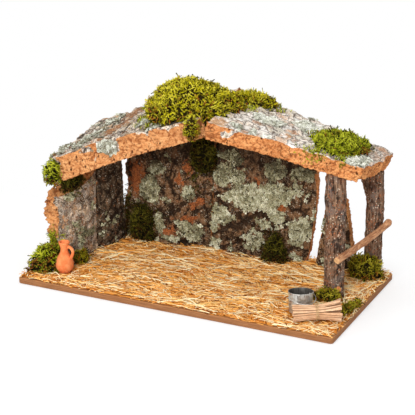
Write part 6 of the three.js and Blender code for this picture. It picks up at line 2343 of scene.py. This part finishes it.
def cork_slabs() -> dict[str, CorkSlab]:
    """The seven slabs of cork, with what grows on each and where it is torn."""
    left, back, end = (0.948, -0.317, 0.0), (0.056, -0.998, 0.0), (0.035, -0.999, 0.0)
    tall, long = (1.0, 1.0, 1.5), (1.9, 1.0, 1.0)
    slabs = [
        CorkSlab(
            "left_wall_front_slab", left, (1.4, 1.0, 0.8), (0, 0, 71.5), cover=0.12, seed=2, layered=5.0,
            lichens=spots((-203, 5, 44, 12, 14, 12), (-212, -38, 116, 14, 12, 12)),
            rusts=spots((-203, -50, 60, 12, 9, 30), (-200, 24, 86, 10, 7, 14)),
            barked=spots(
                (-197, 29, 80, 16, 9, 90), (-218, -60, 36, 14, 9, 16), (-212, -60, 86, 10, 8, 9),
                (-214, -56, 110, 12, 8, 8),
            ),
            swells=pushes(
                (-240, -54, 118, 12, 14, 12, 5, 0, -4), (-244, -54, 30, 12, 14, 24, 9, 0, 0),
                (-246, -54, 84, 10, 14, 9, -4, -2, 0), (-246, -54, 64, 9, 14, 6, 5, 3, 0),
            ),
        ),
        CorkSlab(
            "left_wall_rear_slab", left, tall, (0, 0, 71.5), cover=0.16, seed=3,
            barked=spots((-200, 23, 80, 26, 7, 110)),
            swells=pushes((-176, 84, 34, 12, 14, 40, 5, 3, 0)),
        ),
        CorkSlab(
            "back_wall_left_slab", back, tall, (0, 0, 3.2), cover=0.08, seed=4,
            lichens=spots(
                (-123, 80, 133, 13, 20, 15), (-134, 80, 96, 21, 20, 23), (-119, 80, 46, 9, 20, 17),
                (-63, 80, 36, 21, 20, 16), (-70, 80, 102, 11, 20, 10), (-95, 80, 22, 20, 20, 7),
            ),
            rusts=spots(
                (-68, 80, 58, 15, 20, 7), (-58, 80, 82, 10, 20, 9), (-86, 80, 118, 5, 20, 18),
                (-101, 80, 38, 15, 20, 9), (-159, 80, 112, 14, 20, 34), (-68, 80, 140, 9, 20, 14),
            ),
            barked=spots((-34, 82, 110, 22, 16, 150)),
            cracks=[
                Crack(((-115, 19), (-89, 15), (-58, 14)), 2.6), Crack(((-92, 150), (-100, 120), (-94, 96)), 2.4),
            ],
            swells=pushes(
                (-176, 88, 36, 10, 20, 56, -9, 0, 0), (-176, 88, 122, 9, 20, 14, -4, 0, 0),
                (-176, 88, 150, 9, 20, 10, 2, 0, 0),
            ),
        ),
        CorkSlab(
            "back_wall_right_slab", back, tall, (0, 0, 3.2), cover=0.14, seed=5,
            lichens=spots(
                (-8, 90, 137, 32, 20, 17), (28, 90, 108, 35, 20, 25), (71, 90, 117, 29, 20, 24),
                (63, 90, 79, 23, 20, 18), (-15, 90, 68, 25, 20, 17), (-30, 90, 48, 12, 20, 8),
                (112, 90, 60, 25, 20, 30), (37, 90, 40, 18, 20, 17), (-4, 90, 166, 26, 20, 9),
                (73, 90, 156, 18, 20, 14), (117, 90, 153, 24, 20, 12), (-26, 90, 22, 12, 20, 8),
            ),
            rusts=spots((37, 90, 40, 5, 20, 5), (83, 90, 92, 11, 20, 6), (42, 90, 129, 7, 20, 9)),
            barked=spots((-36, 88, 110, 20, 16, 150)),
            cracks=[
                Crack(((-52, 28), (-34, 34), (-15, 47), (15, 60), (38, 79), (50, 84), (70, 70)), 4.2),
                Crack(((-20, 18), (-11, 22), (8, 27), (25, 35)), 2.6),
            ],
            swells=pushes(
                (14, 90, 44, 42, 24, 13, 0, -3, 0), (124, 102, 60, 16, 26, 44, 7, 0, 0),
                (130, 102, 120, 14, 26, 24, 5, 0, 0), (134, 102, 150, 10, 26, 9, -3, 0, 0),
            ),
        ),
        CorkSlab("back_wall_end_piece", end, tall, (0, 0, 2), cover=0.18, seed=6),
        CorkSlab(
            "roof_left_slab", (-0.393, 0.0, 0.919), long, (0, 0, 90), cover=0.1, seed=7, crack=1.7, swell=1.6,
            lichens=spots(
                (-138, -46, 206, 18, 12, 14), (-98, 14, 231, 22, 32, 14), (-64, -38, 244, 14, 12, 9),
                (-198, 6, 189, 16, 44, 18), (-226, -20, 174, 12, 40, 16), (-194, 84, 195, 12, 30, 18),
                (-124, 88, 220, 14, 20, 16),
            ),
            rusts=spots(
                (-164, -26, 207, 13, 11, 12), (-160, 8, 209, 10, 22, 14), (-158, 44, 211, 13, 26, 16),
                (-166, 96, 210, 14, 30, 16), (-106, -40, 222, 7, 10, 20), (-112, 66, 226, 9, 9, 20),
            ),
            barked=spots(
                (-138, -48, 207, 20, 15, 11), (-226, -54, 172, 12, 9, 12), (-82, -48, 238, 18, 8, 7),
                (-172, -48, 196, 14, 8, 5), (-40, -48, 252, 16, 7, 4),
            ),
            swells=pushes((-160, -50, 192, 5, 8, 14, 0, 7, 0), (-126, 18, 224, 18, 22, 16, -1, 0, 3)),
        ),
        CorkSlab(
            "roof_right_slab", (0.168, 0.0, 0.986), long, (0, 0, 90), cover=0.1, seed=8, crack=1.3, swell=1.6,
            lichens=spots(
                (78, 44, 250, 26, 18, 16), (128, 78, 240, 24, 26, 16), (104, -30, 242, 14, 9, 12),
                (228, 20, 218, 12, 40, 16), (180, 104, 232, 24, 12, 14), (60, -20, 252, 9, 12, 12),
            ),
            rusts=spots((34, -26, 264, 17, 18, 14), (120, 10, 242, 10, 12, 14)),
            barked=spots(
                (96, -46, 240, 18, 10, 7), (142, -44, 230, 22, 9, 6), (188, -42, 221, 20, 9, 6),
                (56, -46, 253, 14, 8, 5),
            ),
        ),
    ]
    return {slab.node: slab for slab in slabs}


def moss_spots() -> list[Spot]:
    """Where thin moss grows on the roofs, round the thick clumps."""
    return spots(
        (176, -16, 234, 18, 16, 12), (198, -30, 230, 12, 14, 9), (212, 8, 224, 9, 26, 12),
        (212, 98, 210, 8, 10, 12), (146, 60, 234, 9, 20, 12), (60, 104, 250, 18, 14, 12),
        (34, 60, 262, 18, 14, 10), (-112, 26, 232, 9, 26, 14), (-72, -22, 242, 18, 10, 10),
        (-150, 114, 212, 9, 9, 10), (4, -44, 266, 12, 12, 18), (0, -50, 246, 9, 9, 12),
        (-228, -48, 168, 10, 12, 14),
    )


def shaded_spots() -> list[Spot]:
    """Where thin moss grows on the walls in the stable's shade."""
    return spots(
        (-172, 84, 52, 12, 16, 30), (-146, 80, 46, 26, 16, 28), (-44, 84, 160, 20, 16, 34),
        (-60, 84, 124, 10, 16, 20), (60, 88, 46, 28, 16, 22), (-206, -30, 128, 14, 24, 14),
    )


def main() -> None:
    logging.basicConfig(level=logging.INFO, format="%(message)s")
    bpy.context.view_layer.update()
    Studio().build()

    left_roof = CorkBarkFinish(
        "left_roof_cork", tint(162, 124, 94), tint(96, 66, 44), tint(228, 208, 184), tint(188, 186, 162),
        cracks=tint(48, 32, 22), stained=tint(124, 112, 86), torn=(tint(126, 84, 54), tint(188, 138, 98)),
        scales=(
            tint(100, 68, 42), tint(162, 116, 78), tint(148, 142, 112), tint(204, 166, 126),
            tint(242, 224, 198),
        ),
        cover=0.45,
    ).build()
    right_roof = CorkBarkFinish(
        "right_roof_cork", tint(214, 180, 150), tint(140, 104, 76), tint(252, 242, 228), tint(220, 218, 198),
        cork=tint(208, 132, 76), cork_pale=tint(232, 164, 104), cracks=tint(70, 50, 36),
        stained=tint(150, 140, 112), torn=(tint(176, 128, 88), tint(222, 180, 138)),
        scales=(
            tint(190, 144, 112), tint(236, 198, 168), tint(214, 212, 194), tint(252, 238, 222),
            tint(255, 253, 248),
        ),
        cover=0.6, pitted=0.45, crease_dark_and_shade=0.6,
    ).build()
    wall_bark = CorkBarkFinish(
        "wall_cork", tint(124, 90, 62), tint(48, 32, 20), tint(184, 154, 120), tint(160, 154, 116),
        cork=tint(206, 130, 72), roof_shade=0.7, blotched=0.35,
    ).build()
    # Painted light and paler bark: a lighter, scaled copy of the bark for the left wall's open front slab.
    lit_side_bark = CorkBarkFinish(
        "lit_side_cork", tint(198, 156, 118), tint(70, 48, 32), tint(250, 232, 204), tint(206, 200, 174),
        cork=tint(212, 144, 86), cracks=tint(36, 25, 17), torn=(tint(188, 128, 80), tint(232, 174, 120)),
        scales=(
            tint(74, 52, 34), tint(152, 116, 84), tint(108, 80, 56), tint(188, 156, 122), tint(222, 200, 168),
        ),
        scaled=0.42, blotched=0.7, pitted=0.9,
    ).build()
    # Painted shade and darker bark: a darker copy of the bark for the left wall's rear slab under the roof.
    dark_bark = CorkBarkFinish(
        "shaded_cork", tint(92, 74, 56), tint(50, 36, 26), tint(150, 132, 108), tint(146, 138, 106),
        cork=tint(190, 116, 66),
    ).build()
    lichen = LichenFinish("grey_lichen", tint(68, 58, 34), tint(170, 164, 124), tint(240, 238, 210)).build()
    crust = LichenFinish("pale_lichen", tint(116, 106, 82), tint(208, 210, 192), tint(253, 252, 244)).build()

    finishes = {"left_wall_rear_slab": (dark_bark, "dark_bark"), "left_wall_front_slab": (lit_side_bark, "bark")}
    finishes |= {"roof_left_slab": (left_roof, "roof_bark"), "roof_right_slab": (right_roof, "roof_bark")}
    slabs = {
        node: slab.build(*finishes.get(node, (wall_bark, "bark"))) for node, slab in cork_slabs().items()
    }
    walls = [piece for node, piece in slabs.items() if not node.startswith("roof")]
    roofs = [piece for node, piece in slabs.items() if node.startswith("roof")]
    LichenPatches("wall_lichen_leaves", LichenKind.LEAFY, 6600, (3.0, 7.4), 1.6, 1.9, 0.6).build(
        walls, lichen, "bark",
    )
    LichenPatches("roof_lichen_leaves", LichenKind.CRUST, 5200, (2.8, 6.6), 1.2, 1.3, 0.46, 6).build(
        roofs, crust, "roof_bark",
    )

    log_bark = LogFinish().build()
    posts = [
        LogPost(
            "front_post", spots((190, -2, 157, 8, 8, 9), (210, -6, 92, 8, 9, 8)),
            spots((212, -8, 20, 9, 9, 13)),
        ).build(log_bark),
        LogPost(
            "rear_post", spots((219, 92, 151, 10, 10, 9), (212, 96, 60, 8, 8, 7)),
        ).build(log_bark),
    ]
    rail = SideRail().build(TwigFinish().build())

    moss = MossFinish().build()
    # Painted shade: a darker copy of the moss for the clumps and strays at the back and on the walls, in the
    # stable's shade.
    painted_shade_moss = MossFinish(
        "shaded_moss", tint(18, 14, 4), tint(46, 42, 8), tint(78, 74, 14), tint(124, 116, 40),
        tint(76, 46, 18),
    ).build()
    bed = MossBed()
    stop = Walls([*slabs.values(), *posts])
    clumps = {name: MossClump(moss) for name in sorted(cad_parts) if name.startswith("moss_")}
    # These clumps take the darker, painted-shade copy of the moss.
    for name in ("moss_back_left", "moss_back_seam", "moss_back_right", "moss_wall_top"):
        clumps[name] = MossClump(painted_shade_moss, (6.0, 13.0), 0.12, 5.0)
    green_moss = MossFinish(
        "green_moss", tint(26, 24, 6), tint(86, 92, 10), tint(160, 168, 18), tint(216, 218, 68),
        tint(150, 92, 34),
    ).build()
    foot_moss = MossFinish(
        "foot_moss", tint(30, 24, 6), tint(90, 84, 10), tint(156, 146, 20), tint(208, 194, 66),
    ).build()
    for name in ("moss_front_post", "moss_rear_post", "moss_right_edge", "moss_beside_jug"):
        clumps[name] = MossClump(foot_moss)
    clumps["moss_left_front"] = MossClump(green_moss, (8.0, 15.0), 0.08, 6.0)
    clumps["moss_left_eave"] = MossClump(green_moss, (7.0, 13.0), 0.09, 5.0)
    clumps["moss_roof_right"] = MossClump(green_moss, (8.0, 14.0))
    clumps["moss_ridge_tail"] = MossClump(moss, (3.5, 7.0), 0.16, 4.0)
    clumps["moss_ridge"] = MossClump(moss, (8.0, 14.5), 0.088, bald=spots((32, -34, 264, 24, 22, 22)))
    bed.build(clumps, stop)
    bed.stray("roof_moss_strays", roofs, moss_spots(), MossClump(green_moss, (4.0, 8.5), 0.22), stop)
    bed.stray(
        "corner_moss_strays", walls, spots((-230, -60, 46, 14, 12, 14)),
        MossClump(green_moss, (5.0, 10.0), 0.5), stop,
    )
    bed.stray("wall_moss_strays", walls, shaded_spots(), MossClump(painted_shade_moss, (5.0, 10.0), 0.12), stop)
    dropped(bed.models)
    StrawLitter().build(StrawFinish().build(), [*walls, *posts, rail])
    ClayJug().build(ClayFinish().build())
    zinc = ZincFinish().build()
    ZincPail().build(zinc)
    ZincPail().build_bail(zinc)
    KindlingBundle().build(
        [name for name in sorted(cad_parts) if name.startswith("kindling_")],
        SplintFinish().build(), TwineFinish().build(),
    )
    dress(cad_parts["base_board"], HardboardFinish().build())
    screws = ScrewSteelFinish().build()
    for node in ("front_post_screw", "rear_post_screw"):
        dress(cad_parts[node], screws)


if __name__ == "__main__":
    main()
